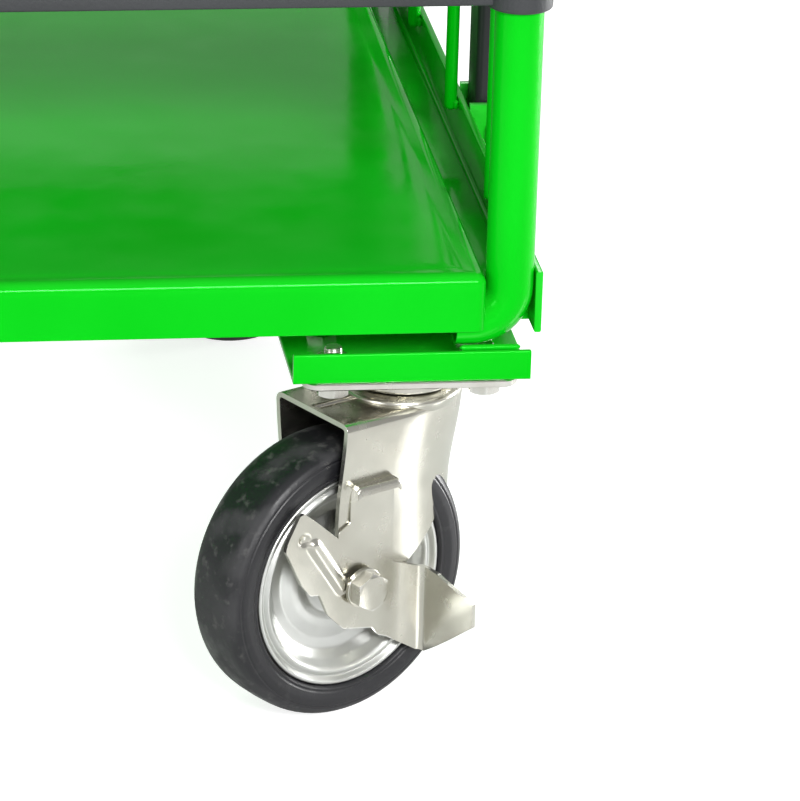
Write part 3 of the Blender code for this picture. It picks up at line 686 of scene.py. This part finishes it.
def makeTub():
    # one closed skin: under the floor, down inside the skirt, up the fluted wall, over the rolled rim and
    # back down; each boot is a profile turned about its post
    tub = {"wall": 3 * mm, "corner": 22 * mm, "innerCorner": 19 * mm, "rim": 12 * mm, "roll": 5 * mm,
           "rimCorner": 4 * mm, "floorFillet": 14 * mm, "skirt": 403 * mm, "floorTop": 442 * mm,
           "endInset": 2.5 * mm, "sideInset": 10 * mm, "rimInset": 2 * mm, "flute": 1.6 * mm,
           "fluteFrom": 0.28, "fluteShare": 0.6, "boot": 17.3 * mm}
    low, high, centre, half = boxOf("load_tub")
    bodyX, bodyY = half[0] - tub["endInset"], half[1] - tub["sideInset"]
    wall, skirt, floorTop, roll = tub["wall"], tub["skirt"], tub["floorTop"], tub["roll"]
    rimLow = high[2] - tub["rim"]
    inX, inY = bodyX - wall, bodyY - wall

    def loopAt(outX, outY, level, corner):
        outline = roundedLoop(outX, outY, max(corner, 1 * mm), 9) + centre[:2]
        return np.column_stack([outline, np.full(len(outline), level)])

    rows = [loopAt(bodyX * 0.3, bodyY * 0.3, floorTop - 4 * mm, 20 * mm),
            loopAt(inX - 2 * mm, inY - 2 * mm, floorTop - 4 * mm, 18 * mm),
            loopAt(inX, inY, floorTop - 6 * mm, tub["innerCorner"]),
            loopAt(inX, inY, skirt + 1 * mm, tub["innerCorner"])]
    for angle in np.linspace(0, np.pi, 7):  # half circle under the skirt
        out = -wall / 2 * (1 + np.cos(angle))
        level = skirt + wall / 2 * (1 - np.sin(angle))
        rows.append(loopAt(bodyX + out, bodyY + out, level, tub["corner"] + out))
    for share in np.linspace(0.02, 1, 22):  # the wall, drawn in by a flattened sine over its middle part
        level = skirt + wall / 2 + share * (rimLow - 6 * mm - skirt - wall / 2)
        wave = np.sin(np.clip((share - tub["fluteFrom"]) / tub["fluteShare"], 0, 1) * np.pi)
        inward = tub["flute"] * np.clip(wave, 0, 1) ** 0.25 if wave > 1e-9 else 0.0
        rows.append(loopAt(bodyX - inward, bodyY - inward, level, tub["corner"] - inward))
    rimX, rimY = half[0], half[1] - tub["rimInset"]
    for angle in np.linspace(0, np.pi / 2, 6):  # out to the rim
        share = np.sin(angle)
        level = rimLow - roll + roll * (1 - np.cos(angle))
        rows.append(loopAt(bodyX + (rimX - bodyX) * share, bodyY + (rimY - bodyY) * share, level,
                           tub["corner"] + tub["rimCorner"] * share))
    for angle in np.linspace(0, np.pi, 9):  # over the rim
        across = 0.5 + 0.5 * np.cos(angle)
        rows.append(loopAt(inX + (rimX - inX) * across, inY + (rimY - inY) * across,
                           high[2] - roll * (1 - np.sin(angle)),
                           tub["corner"] + tub["rimCorner"] * np.cos(angle)))
    for level in np.linspace(high[2] - 8 * mm, floorTop + tub["floorFillet"], 6):
        rows.append(loopAt(inX, inY, level, tub["innerCorner"]))
    for angle in np.linspace(0, np.pi / 2, 6)[1:]:  # quarter circle into the floor
        out = tub["floorFillet"] * (1 - np.cos(angle))
        level = floorTop + tub["floorFillet"] * (1 - np.sin(angle))
        rows.append(loopAt(inX - out, inY - out, level, tub["innerCorner"]))
    rows.append(loopAt(inX * 0.5, inY * 0.5, floorTop, 20 * mm))
    parts = [loft(rows)]
    for name, (signX, _) in corners.items():
        path, radius = postPath("post_" + name, signX)
        r, bore = tub["boot"], radius + 0.4 * mm
        boot = smoothProfile([
            (bore, 430 * mm), (bore, low[2]), (r, low[2]), (r, 430 * mm), (r - 4 * mm, 439 * mm),
            (0.5 * mm, 440.5 * mm),
        ], 1.4 * mm)
        parts.append(shifted(loft(spun(boot, 40)), (path[0][0], path[0][1], 0)))
    makePiece("loadTub", parts, "cart", moulding, ["load_tub"])


makeTub()
print("tub made")


def castorFrame(wheelJoint, plateNode):
    # where a castor's plate is centred, the way its fork faces and the way its axle runs
    centre = boxOf(plateNode)[2]
    joint = joints[wheelJoint]
    axis = np.array(joint["axis"], float)
    return {
        "plate": centre * [1, 1, 0],
        "axle": np.array(joint["pos_m"], float),
        "side": axis,
        "ahead": np.array([axis[1], -axis[0], 0.0]),
    }


def placed(part, origin, castor):
    # from the castor's own axes into the cart's: origin + x ahead + y side + z up
    points = np.asarray(part[0], float)
    level = points[:, 2:] * np.array([0, 0, 1.0])
    return points[:, :1] * castor["ahead"] + points[:, 1:2] * castor["side"] + level + origin, part[1]


def wheelRing(half, rounding, count):
    # half a section (radius, offset) in mm and its mirror image, rounded and turned about the axle; a
    # point on the middle line isn't repeated
    half = np.array(half) * mm
    back = half[::-1] if half[-1, 1] else half[-2::-1]
    section = np.concatenate([half, back * [1, -1], half[:1]])
    return loft(alongY(spun(smoothProfile(section, rounding, 3), count)), False, False)


def makeWheel(name, castor):
    # rim and tyre are profiles turned about the axle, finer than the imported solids; the tyre's treadShare
    # is 1 on the tread and falls away down the shoulder
    wheel = {
        "rim": [(6.3, 22), (13, 22), (14, 21), (14.5, 12), (16.5, 9.5), (22, 7.6), (27, 8.6), (31, 8.2),
                (38, 6.6), (44, 7.6), (48.5, 11.5), (51.5, 16.4), (53.6, 18.2), (55.2, 17.2),
                (56.2, 16.2), (57.4, 17.4), (59, 19.2), (60.6, 18.8), (61, 17)],
        "tyre": [(61.2, 16.5), (61.6, 18.6), (63, 20.2), (64.2, 19.6), (65.2, 20.4), (69, 21),
                 (72.4, 20.6), (73, 19.9), (74, 20.2), (76.6, 18.6), (78.6, 15.2), (79.4, 12.4),
                 (79.8, 8), (80, 0)],
        "treadFrom": 74 * mm, "treadRun": 3 * mm, "shoulder": 20.5 * mm, "shoulderRun": 2 * mm,
    }
    body, axle, side = "wheel_" + name, castor["axle"], castor["side"]
    rim = placed(wheelRing(wheel["rim"], 1.1 * mm, 72), axle, castor)
    makePiece("discRim_" + name, [rim], body, rimZinc, ["rim_" + name])
    tyre = placed(wheelRing(wheel["tyre"], 1.0 * mm, 96), axle, castor)
    piece = makePiece("solidTyre_" + name, [tyre], body, rubber, ["tyre_" + name])
    points = np.zeros(len(piece.data.vertices) * 3)
    piece.data.vertices.foreach_get("co", points)
    offset = points.reshape(-1, 3) - axle
    height = offset @ side
    radius = np.linalg.norm(offset - height[:, None] * side, axis=1)
    share = np.clip((radius - wheel["treadFrom"]) / wheel["treadRun"], 0.06, 1)
    share *= np.clip((wheel["shoulder"] - np.abs(height)) / wheel["shoulderRun"], 0.1, 1)
    layer = piece.data.attributes.new("treadShare", "FLOAT", "POINT")
    layer.data.foreach_set("value", share.astype(np.float32))


def makeFork(name, castor):
    # the plan is a U: straight legs, and a nose whose Y follows a power of the sine; rows run from the
    # crown's centre line out, over a round shoulder and down to the low edge
    fork = {"side": 26 * mm, "flare": 6 * mm, "nose": 33 * mm, "noseFlare": 8 * mm, "pinch": 1.25,
            "back": -60 * mm, "bend": -24 * mm, "top": 177 * mm, "flareFrom": 118 * mm,
            "shoulder": 5 * mm, "thick": 3 * mm, "trail": 46 * mm, "axle": 80 * mm, "foot": 17.5 * mm,
            "slant": ((-30, 72), (0, 93), (24, 114), (42, 124)),  # distance ahead and level, in mm
            "rimLift": 6 * mm, "liftFrom": 130 * mm}
    race = [(7, 172), (30, 172), (32.5, 177.5), (31.5, 179.5), (28, 181.5), (7, 181.5), (7, 172)]
    legSteps, noseSteps = 22, 34
    bend, top, r = fork["bend"], fork["top"], fork["shoulder"]
    leg = np.linspace(fork["back"], bend, legSteps)
    run = np.concatenate([leg, np.full(noseSteps, bend), leg[::-1]])
    quarter = np.full(legSteps, np.pi / 2)
    sweep = np.linspace(-np.pi / 2, np.pi / 2, noseSteps + 2)[1:-1]
    angle = np.concatenate([-quarter, sweep, quarter])
    onNose = np.where(np.abs(angle) < np.pi / 2 - 1e-6, np.cos(angle), 0)
    level = np.ones(len(run))

    def eased(value):
        # 0 to 1 by 3v² - 2v³
        value = np.clip(value, 0, 1)
        return value * value * (3 - 2 * value)

    def planAt(height):
        # the U's outline at a height: wider near the crown
        share = eased((height - fork["flareFrom"]) / (top - fork["flareFrom"]))
        side = fork["side"] + fork["flare"] * share
        nose = fork["nose"] + fork["noseFlare"] * share
        x = run + (nose - bend) * onNose
        return x, side * np.sign(angle) * np.abs(np.sin(angle)) ** fork["pinch"]

    def lowEdge(x):
        # round under the axle, then a slant up to the nose
        drop = np.sqrt(np.clip(fork["foot"] ** 2 - (x + fork["trail"]) ** 2, 0, None))
        ahead, rise = np.array(fork["slant"]).T * mm
        return np.where(x < -31 * mm, np.minimum(fork["axle"] - drop, 73 * mm), np.interp(x, ahead, rise))

    topX, topY = planAt(level * top)
    crownX, crownY = topX - onNose * r, topY - np.sin(angle) * r
    rows = []
    for share in np.linspace(0, 1, 7):
        x = topX - onNose * r * share - (topX - run) * (1 - share)
        rows.append(np.stack([x, crownY * share, level * top], axis=1))
    for roll in np.linspace(0, np.pi / 2, 7)[1:]:
        x = crownX + onNose * r * np.sin(roll)
        y = crownY + np.sin(angle) * r * np.sin(roll)
        rows.append(np.stack([x, y, level * (top - r * (1 - np.cos(roll)))], axis=1))
    bottom = lowEdge(planAt(level * fork["flareFrom"])[0])
    for share in np.linspace(0, 1, 26)[1:]:
        height = top - r + share * (bottom - top + r)
        rows.append(np.stack([*planAt(height), height], axis=1))
    rows = np.array(rows)
    # the front rim is drawn up around the race: an eased step in radius times an eased step ahead
    outBy = eased((np.hypot(rows[..., 0], rows[..., 1]) - 32.8 * mm) / (4.5 * mm))
    aheadBy = eased(rows[..., 0] / (14 * mm))
    fromLow = np.clip((rows[..., 2] - fork["liftFrom"]) / (top - fork["liftFrom"]), 0, 1)
    rows[..., 2] += fork["rimLift"] * outBy * aheadBy * fromLow
    ring = spun(smoothProfile(np.array(race) * mm, 1.2 * mm), 64)
    parts = [thickSheet(rows, fork["thick"]), loft(ring, False, False)]
    makePiece("pressedFork_" + name, [placed(part, castor["plate"], castor) for part in parts],
              "swivel_" + name, zinc, ["fork_" + name], bevel=0.35 * mm, sharp=45)


def plateLoops(halfX, halfY, low, high, corner, edge=0.7 * mm):
    # a flat plate with rounded corners and softened edges
    rows = []
    for inset, level in ((edge, low), (0, low + edge), (0, high - edge), (edge, high)):
        outline = roundedLoop(halfX - inset, halfY - inset, corner - inset, 8)
        rows.append(np.column_stack([outline, np.full(len(outline), level)]))
    return loft(rows)


def makeSwivelPlate(name, castor):
    # a flat plate, with the race and the king pin's head turned about the swivel's axis
    swivel = {"under": 191 * mm, "corner": 9 * mm,
              "race": [(1, 191.5), (33, 191.5), (33.5, 189.5), (31, 187.5), (31.5, 184), (27, 182.2),
                       (1, 182.2)],
              "pin": [(0.5, 165), (8, 165), (11, 167), (11, 169.6), (0.5, 169.6)]}
    _, high, _, half = boxOf("swivel_plate_" + name)
    race = spun(smoothProfile(np.array(swivel["race"]) * mm, 1.2 * mm), 64)
    pin = spun(smoothProfile(np.array(swivel["pin"]) * mm, 0.8 * mm), 40)
    plate = plateLoops(half[0], half[1], swivel["under"], high[2], swivel["corner"])
    parts = [shifted(part, castor["plate"]) for part in (plate, loft(race), loft(pin))]
    makePiece("swivelPlate_" + name, parts, "cart", zinc, ["swivel_plate_" + name])


def makeFixedFork(name, castor):
    # a flat plate and an upright leg each side: two top corners and an arc under the axle
    bracket = {"under": 191 * mm, "corner": 9 * mm, "halfTop": 30 * mm, "foot": 18 * mm, "axle": 80 * mm,
               "faces": ((23, 0.985), (23.5, 1), (25.5, 1), (26, 0.985)), "bead": 2.5 * mm}
    _, high, _, half = boxOf("fixed_fork_" + name)
    parts = [plateLoops(half[0], half[1], bracket["under"], high[2], bracket["corner"])]
    t = np.radians(np.linspace(-165, -15, 22))
    foot = np.stack([np.cos(t), np.sin(t)], axis=1) * bracket["foot"] + [0, bracket["axle"]]
    side = np.concatenate([[(bracket["halfTop"], 192 * mm), (-bracket["halfTop"], 192 * mm)], foot])
    for sign in (-1, 1):
        parts.append(uprightPlate(side, bracket["faces"], sign))
        root = [(x, sign * 26 * mm, 190.5 * mm) for x in (-29 * mm, 29 * mm)]
        parts.append(weldBead(root, bracket["bead"], 0.15))
    makePiece("fixedFork_" + name, [shifted(part, castor["plate"]) for part in parts], "cart", zinc,
              ["fixed_fork_" + name], sharp=45)


def makeAxleBolt(name, castor, body, outer):
    # hex head, thick washer, nut and threaded end turned about the axle, with a plain core through them
    bolt = {"flats": 19 * mm, "head": 8 * mm, "nut": 10 * mm, "tip": 13 * mm, "radius": 6 * mm,
            "washer": 11.5 * mm, "washerThick": 2.4 * mm, "nutAt": 26.3 * mm}
    r, thick, nutAt = bolt["radius"], bolt["washerThick"], bolt["nutAt"]
    washer = smoothProfile([(r, 0), (bolt["washer"], 0), (bolt["washer"], thick), (r, thick)], 0.5 * mm)
    shapes = ((hexHead(bolt["flats"], bolt["head"]), -outer - thick, -1), (spun(washer, 48), -outer, -1),
              (hexHead(bolt["flats"], bolt["nut"]), nutAt, 1),
              (threadedEnd(r, bolt["nut"], bolt["tip"]), nutAt, 1))
    parts = [loft(alongY(loops) * [1, facing, 1] + [0, at, 0]) for loops, at, facing in shapes]
    parts.append(loft(alongY(spun([(r, -outer - 1 * mm), (r, 27 * mm)], 24))))
    makePiece("axleBolt_" + name, [placed(part, castor["axle"], castor) for part in parts], body, zinc,
              ["axle_bolt_" + name])


def makeLever(name, castor):
    # a strip bent along its plan, whose upper and lower edges follow the stamping; the rib is
    # depth × exp(-(distance / width)⁴) from a line, and the dimple the same from a point
    lever = {"thick": 2.5 * mm, "face": -27.8 * mm, "foldRadius": 3.5 * mm, "out": 43.5 * mm,
             "upperAt": [-50, -49, -41, -38, -30, -12, 22, 40, 52, 60, 74, 92],
             "upper": [32, 36, 50, 50.5, 44, 28, 8.5, 2.5, 1, -1.5, -5, -9],
             "lowerAt": [-50, -47, -39, -33, -27, -21, -10, 10, 14, 19, 38, 43, 50, 60, 76, 92],
             "lower": [31, 25, 9, 1.5, 0.5, -12.5, -23.5, -27.5, -33, -35, -46.5, -47.5, -43, -36,
                       -24, -12],
             "rib": ((-31, 30), (-12, 2)), "ribDepth": 2.2 * mm, "ribWidth": 3.6 * mm,
             "dimple": (-38, 35), "dimpleDepth": 1.3 * mm, "dimpleWidth": 3.2 * mm}
    across = 46
    face = lever["face"]
    plan = smoothProfile([
        (-50 * mm, face), (24 * mm, face), (41.2 * mm, face - 3 * mm), (43.5 * mm, face - lever["out"]),
    ], lever["foldRadius"], 6)
    steps = np.linalg.norm(np.diff(plan, axis=0), axis=1)
    run = np.concatenate([[0], np.cumsum(steps)])
    along = np.linspace(0, run[-1], 150)
    s = along - 50 * mm
    x, y, s = (np.repeat(line[None], across, axis=0) for line in (
        np.interp(along, run, plan[:, 0]), np.interp(along, run, plan[:, 1]), s))
    upper = np.interp(s[0] / mm, lever["upperAt"], lever["upper"])
    lower = np.interp(s[0] / mm, lever["lowerAt"], lever["lower"])
    level = (lower + (upper - lower) * np.linspace(0, 1, across)[:, None]) * mm
    ribA, ribB = np.array(lever["rib"]) * mm
    rib = ribB - ribA
    point = np.stack([s, level], axis=-1)
    t = np.clip(((point - ribA) @ rib) / (rib @ rib), 0, 1)
    away = np.linalg.norm(point - (ribA + t[..., None] * rib), axis=-1)
    y = y - lever["ribDepth"] * np.exp(-(away / lever["ribWidth"]) ** 4)
    away = np.linalg.norm(point - np.array(lever["dimple"]) * mm, axis=-1)
    y = y + lever["dimpleDepth"] * np.exp(-(away / lever["dimpleWidth"]) ** 4)
    sheet = thickSheet(np.stack([x, y, level], axis=-1)[:, ::-1], lever["thick"])
    makePiece("brakeLever_" + name, [placed(sheet, castor["axle"], castor)], "brake_" + name, zinc,
              ["brake_lever_" + name], bevel=0.3 * mm, sharp=30)


def makeSpring(name, castor):
    # a flat strip carried up the leg and over a hook; it narrows by a ramp, and its top corners are
    # trimmed by a circle's arc
    spring = {"path": [(-26.4, -8), (-26.4, 10), (-26.4, 33.9), (-26.4, 38), (-26.4, 60), (-33.4, 60),
                       (-34.4, 55)],
              "left": ((-8, -15), (34, -15), (38, -7), (60, -7)), "right": 22 * mm, "thick": 1.2 * mm,
              "trim": 1.8 * mm, "trimFrom": 50 * mm}
    path = smoothProfile(np.array(spring["path"]) * mm, 2.5 * mm, 5)
    share = np.linspace(0, 1, 18)
    left = np.interp(path[:, 1], *np.array(spring["left"]).T * mm)[:, None]
    corner = (np.abs(share - 0.5) - 0.43).clip(0) / 0.07
    trim = spring["trim"] * (1 - np.sqrt(np.clip(1 - corner ** 2, 0, 1)))
    grid = np.zeros((len(path), len(share), 3))
    grid[..., 0] = left + (spring["right"] - left) * share
    grid[..., 1] = path[:, :1]
    grid[..., 2] = path[:, 1:] - trim * (path[:, 1:] > spring["trimFrom"])
    sheet = thickSheet(grid, spring["thick"])
    makePiece("brakeSpring_" + name, [placed(sheet, castor["axle"], castor)], "swivel_" + name, zinc,
              ["brake_spring_" + name], bevel=0.2 * mm)


def makeMountBolts():
    # hex head under the plate, nut and threaded end above the pan, with a plain core through them
    bolt = {"flats": 16 * mm, "head": 6.4 * mm, "headAt": 190.7 * mm, "nut": 8 * mm, "nutAt": 198.6 * mm,
            "radius": 5 * mm, "threadAt": 206 * mm, "core": (189 * mm, 207 * mm)}
    for name in corners:
        for number in range(1, 5):
            place = name + "_" + str(number)
            _, high, centre, _ = boxOf("mount_bolt_" + place)
            head = hexHead(bolt["flats"], bolt["head"]) * [1, 1, -1] + [0, 0, bolt["headAt"]]
            nut = hexHead(bolt["flats"], bolt["nut"]) + [0, 0, bolt["nutAt"]]
            tip = threadedEnd(bolt["radius"], bolt["threadAt"], high[2])
            core = spun([(bolt["radius"], level) for level in bolt["core"]], 20)
            parts = [shifted(loft(loops), centre * [1, 1, 0]) for loops in (head, nut, tip, core)]
            makePiece("mountBolt_" + place, parts, "cart", zinc, ["mount_bolt_" + place])


for corner in corners:
    swivels = corner.endswith("tow")
    castor = castorFrame("wheel_spin_" + corner, ("swivel_plate_" if swivels else "fixed_fork_") + corner)
    makeWheel(corner, castor)
    if swivels:
        makeSwivelPlate(corner, castor)
        makeFork(corner, castor)
        makeAxleBolt(corner, castor, "swivel_" + corner, 30.6 * mm)
        makeLever(corner, castor)
        makeSpring(corner, castor)
    else:
        makeFixedFork(corner, castor)
        makeAxleBolt(corner, castor, "cart", 26.3 * mm)
makeMountBolts()
print("castors made")


def makeTowBar():
    # rounded rectangles from inside the foot, round its lip and up to the closed top
    bar = {"corner": 4 * mm,
           "foot": ((3, 40), (3, 0.4), (1.5, 0), (0, 0.4)),  # inset and height above the foot, in mm
           "top": ((0, -0.4), (0.6, 0))}  # inset and height above the top, in mm
    low, high, centre, half = boxOf("tow_bar")
    levels = [(inset * mm, low[2] + rise * mm) for inset, rise in bar["foot"]]
    levels += [(inset * mm, high[2] + rise * mm) for inset, rise in bar["top"]]
    rows = []
    for inset, level in levels:
        outline = roundedLoop(half[0] - inset, half[1] - inset, max(bar["corner"] - inset, 1 * mm), 6)
        rows.append(np.column_stack([outline + centre[:2], np.full(len(outline), level)]))
    makePiece("towBar", [loft(rows)], "tow", enamel, ["tow_bar"])


def makeTowEye():
    # a ring whose section is a squared circle, sign(cos t) |cos t|^0.6, turned about Y; a neck of rounded
    # rectangles joins it to a flat cap over the tube's end
    eye = {"bore": 13 * mm, "halfThick": 5 * mm, "square": 0.6, "cap": 16 * mm, "neck": 4.4 * mm,
           "necks": ((2.5, 12), (4, 11), (10, 15))}  # height above the bar and half width, in mm
    high, centre, half = boxOf("tow_eye")[1:]
    outer = half[1]
    centre = np.array([centre[0], 0, high[2] - outer])
    t = np.linspace(0, turn, 15)
    squared = [np.sign(wave) * np.abs(wave) ** eye["square"] for wave in (np.cos(t), np.sin(t))]
    middle, wide = (outer + eye["bore"]) / 2, (outer - eye["bore"]) / 2
    ring = spun(np.stack([middle + wide * squared[0], eye["halfThick"] * squared[1]], axis=1), 64)
    ring = np.stack([ring[..., 2], ring[..., 0], ring[..., 1]], axis=-1) + centre
    barTop = boxOf("tow_bar")[1][2]
    cap = plateLoops(eye["cap"], eye["cap"], barTop + 0.2 * mm, barTop + 3 * mm, 4 * mm)
    neck = []
    for rise, wideY in eye["necks"]:
        outline = roundedLoop(eye["neck"], wideY * mm, 3 * mm)
        neck.append(np.column_stack([outline, np.full(len(outline), barTop + rise * mm)]))
    upTo = (centre[0], 0, 0)
    parts = [loft(ring, False, False), shifted(cap, upTo), shifted(loft(neck), upTo)]
    makePiece("towEye", parts, "tow", zinc, ["tow_eye"])


def makeTowBracket():
    # two upright ears with a half circle round the pivot, and a bead along the root of each
    ear = {"nose": 18 * mm, "faces": ((17, 0.975), (17.5, 1), (21.5, 1), (22, 0.975)), "bead": 2.4 * mm}
    low, high = boxOf("tow_bracket")[:2]
    pivot = np.array(joints["tow_bar_hinge"]["pos_m"], float)
    start = low[0]
    t = np.radians(np.linspace(-90, 90, 22))
    nose = pivot[[0, 2]] + ear["nose"] * np.stack([np.cos(t), np.sin(t)], axis=1)
    side = np.concatenate([[(start, low[2] + 0.4 * mm)], nose, [(start, pivot[2] + ear["nose"])]])
    parts = []
    for sign in (-1, 1):
        parts.append(uprightPlate(side, ear["faces"], sign))
        root = [(start + 1.2 * mm, sign * 22 * mm, level) for level in (low[2] + 3 * mm, high[2] - 3 * mm)]
        parts.append(weldBead(root, ear["bead"]))
    makePiece("towBracket", parts, "cart", green, ["tow_bracket"], sharp=45)


def makePivotBolt():
    # hex head, nut and threaded end turned about the hinge, with a plain core through them
    bolt = {"flats": 19 * mm, "head": 8 * mm, "nut": 10 * mm, "tip": 12 * mm, "radius": 6 * mm,
            "reach": 22.3 * mm}
    pivot = np.array(joints["tow_bar_hinge"]["pos_m"], float)
    r, reach = bolt["radius"], bolt["reach"]
    head = alongY(hexHead(bolt["flats"], bolt["head"])) * [1, -1, 1] + [0, -reach, 0]
    nut = alongY(hexHead(bolt["flats"], bolt["nut"])) + [0, reach, 0]
    tip = alongY(threadedEnd(r, bolt["nut"], bolt["tip"])) + [0, reach, 0]
    core = alongY(spun([(r, -reach - 1 * mm), (r, reach + 1 * mm)], 24))
    parts = [shifted(loft(loops), pivot) for loops in (head, nut, tip, core)]
    makePiece("towPivotBolt", parts, "cart", zinc, ["tow_pivot_bolt"])


makeTowBar()
makeTowEye()
makeTowBracket()
makePivotBolt()
print("tow bar made")


def cameraSight(tree, others, camera):
    # one strength for what the camera sees straight on, and another for every other ray
    sight = tree.nodes.new("ShaderNodeLightPath")
    glow = tree.nodes.new("ShaderNodeMapRange")
    glow.inputs["To Min"].default_value = others
    glow.inputs["To Max"].default_value = camera
    tree.links.new(sight.outputs["Is Camera Ray"], glow.inputs["Value"])
    return glow.outputs["Result"]


def makeStage():
    # a pale square of floor with a faint glow of its own, stronger to the camera
    floor = {"half": 30.0, "colour": (0.5, 0.5, 0.5, 1), "glow": 0.26, "seen": 0.8}
    half = floor["half"]
    mesh = bpy.data.meshes.new("studioFloor")
    square = [(-half, -half, 0), (half, -half, 0), (half, half, 0), (-half, half, 0)]
    mesh.from_pydata(square, [], [(0, 1, 2, 3)])
    sheet = bpy.data.objects.new("studioFloor", mesh)
    bpy.context.scene.collection.objects.link(sheet)
    paper = bpy.data.materials.new("floorPaper")
    paper.use_nodes = True
    tree = paper.node_tree
    shader = tree.nodes["Principled BSDF"]
    shader.inputs["Base Color"].default_value = floor["colour"]
    shader.inputs["Roughness"].default_value = 0.9
    shader.inputs["Emission Color"].default_value = (1, 1, 1, 1)
    tree.links.new(cameraSight(tree, floor["glow"], floor["seen"]), shader.inputs["Emission Strength"])
    mesh.materials.append(paper)


def addLamp(name, place, angles, size, power):
    # a rectangular area light
    data = bpy.data.lights.new(name, "AREA")
    data.shape = "RECTANGLE"
    data.size, data.size_y = size
    data.energy = power
    lamp = bpy.data.objects.new(name, data)
    lamp.location = place
    lamp.rotation_euler = angles
    bpy.context.scene.collection.objects.link(lamp)
    return lamp


def addSoftbox(name, place, aim, size, power, mirrored=True):
    # a lamp turned so that its -Z looks from its place to its aim
    angles = (Vector(aim) - Vector(place)).to_track_quat("-Z", "Y").to_euler()
    addLamp(name, place, angles, size, power).visible_glossy = mirrored


def addFloorStrip(name, start, heading, near, far, width, power):
    # a lamp lying face up, from `near` to `far` metres along a heading, that upright metal mirrors
    ahead = np.array([np.sin(radians(heading)), -np.cos(radians(heading)), 0])
    place = np.array([*start, 3 * mm]) + ahead * (near + far) / 2
    angles = (np.pi, 0, np.arctan2(ahead[1], ahead[0]))
    addLamp(name, place, angles, (far - near, width), power).visible_camera = False


def lightStage():
    # white air that is stronger to the camera, five softboxes and two strips on the floor
    air = {"strength": 0.42, "seen": 1.0}
    world = bpy.data.worlds.new("studioAir")
    bpy.context.scene.world = world
    world.use_nodes = True
    tree = world.node_tree
    background = tree.nodes["Background"]
    background.inputs["Color"].default_value = (1, 1, 1, 1)
    tree.links.new(cameraSight(tree, air["strength"], air["seen"]), background.inputs["Strength"])
    addSoftbox("keyBox", (0.7, -3.4, 1.9), (0.3, -0.2, 0.2), (1.2, 0.6), 140)
    addSoftbox("sideStrip", (2.0, 0.3, 0.18), (0.4, -0.2, 0.14), (0.28, 0.36), 30)
    addFloorStrip("forkStrip", (0.364, -0.286), 85, 0.16, 0.5, 0.07, 0.16)
    addFloorStrip("leverStrip", (0.36, -0.33), 48, 0.04, 0.22, 0.045, 0.05)
    addSoftbox("deckGlow", (0, 0, 0.398), (0, 0, 0), (0.8, 0.5), 0.55, mirrored=False)  # under the tub
    addSoftbox("leftBox", (-2.6, -2.2, 1.2), (0.2, 0, 0.25), (1.6, 1.2), 30)
    addSoftbox("rearBox", (0.4, 2.8, 2.4), (0, 0, 0.3), (2.2, 1.0), 50)


def addCamera():
    # aimed at the near corner on the tow side, from a little to the left and above: the way back from the
    # aim is (sin a cos e, -cos a cos e, sin e)
    shot = {"azimuth": -8.4, "elevation": 21.9, "roll": 1.8, "distance": 2.9, "lens": 244.0,
            "aim": (0.357, -0.298, 0.185)}
    a, e = radians(shot["azimuth"]), radians(shot["elevation"])
    back = Vector((np.sin(a) * np.cos(e), -np.cos(a) * np.cos(e), np.sin(e)))
    data = bpy.data.cameras.new("shot")
    data.lens = shot["lens"]
    camera = bpy.data.objects.new("shot", data)
    camera.location = Vector(shot["aim"]) + back * shot["distance"]
    camera.rotation_euler = (-back).to_track_quat("-Z", "Y").to_euler()
    camera.rotation_euler.rotate_axis("Z", radians(shot["roll"]))
    bpy.context.scene.collection.objects.link(camera)
    bpy.context.scene.camera = camera


makeStage()
lightStage()
addCamera()
bpy.context.scene.view_settings.view_transform = "Standard"
print("stage made")
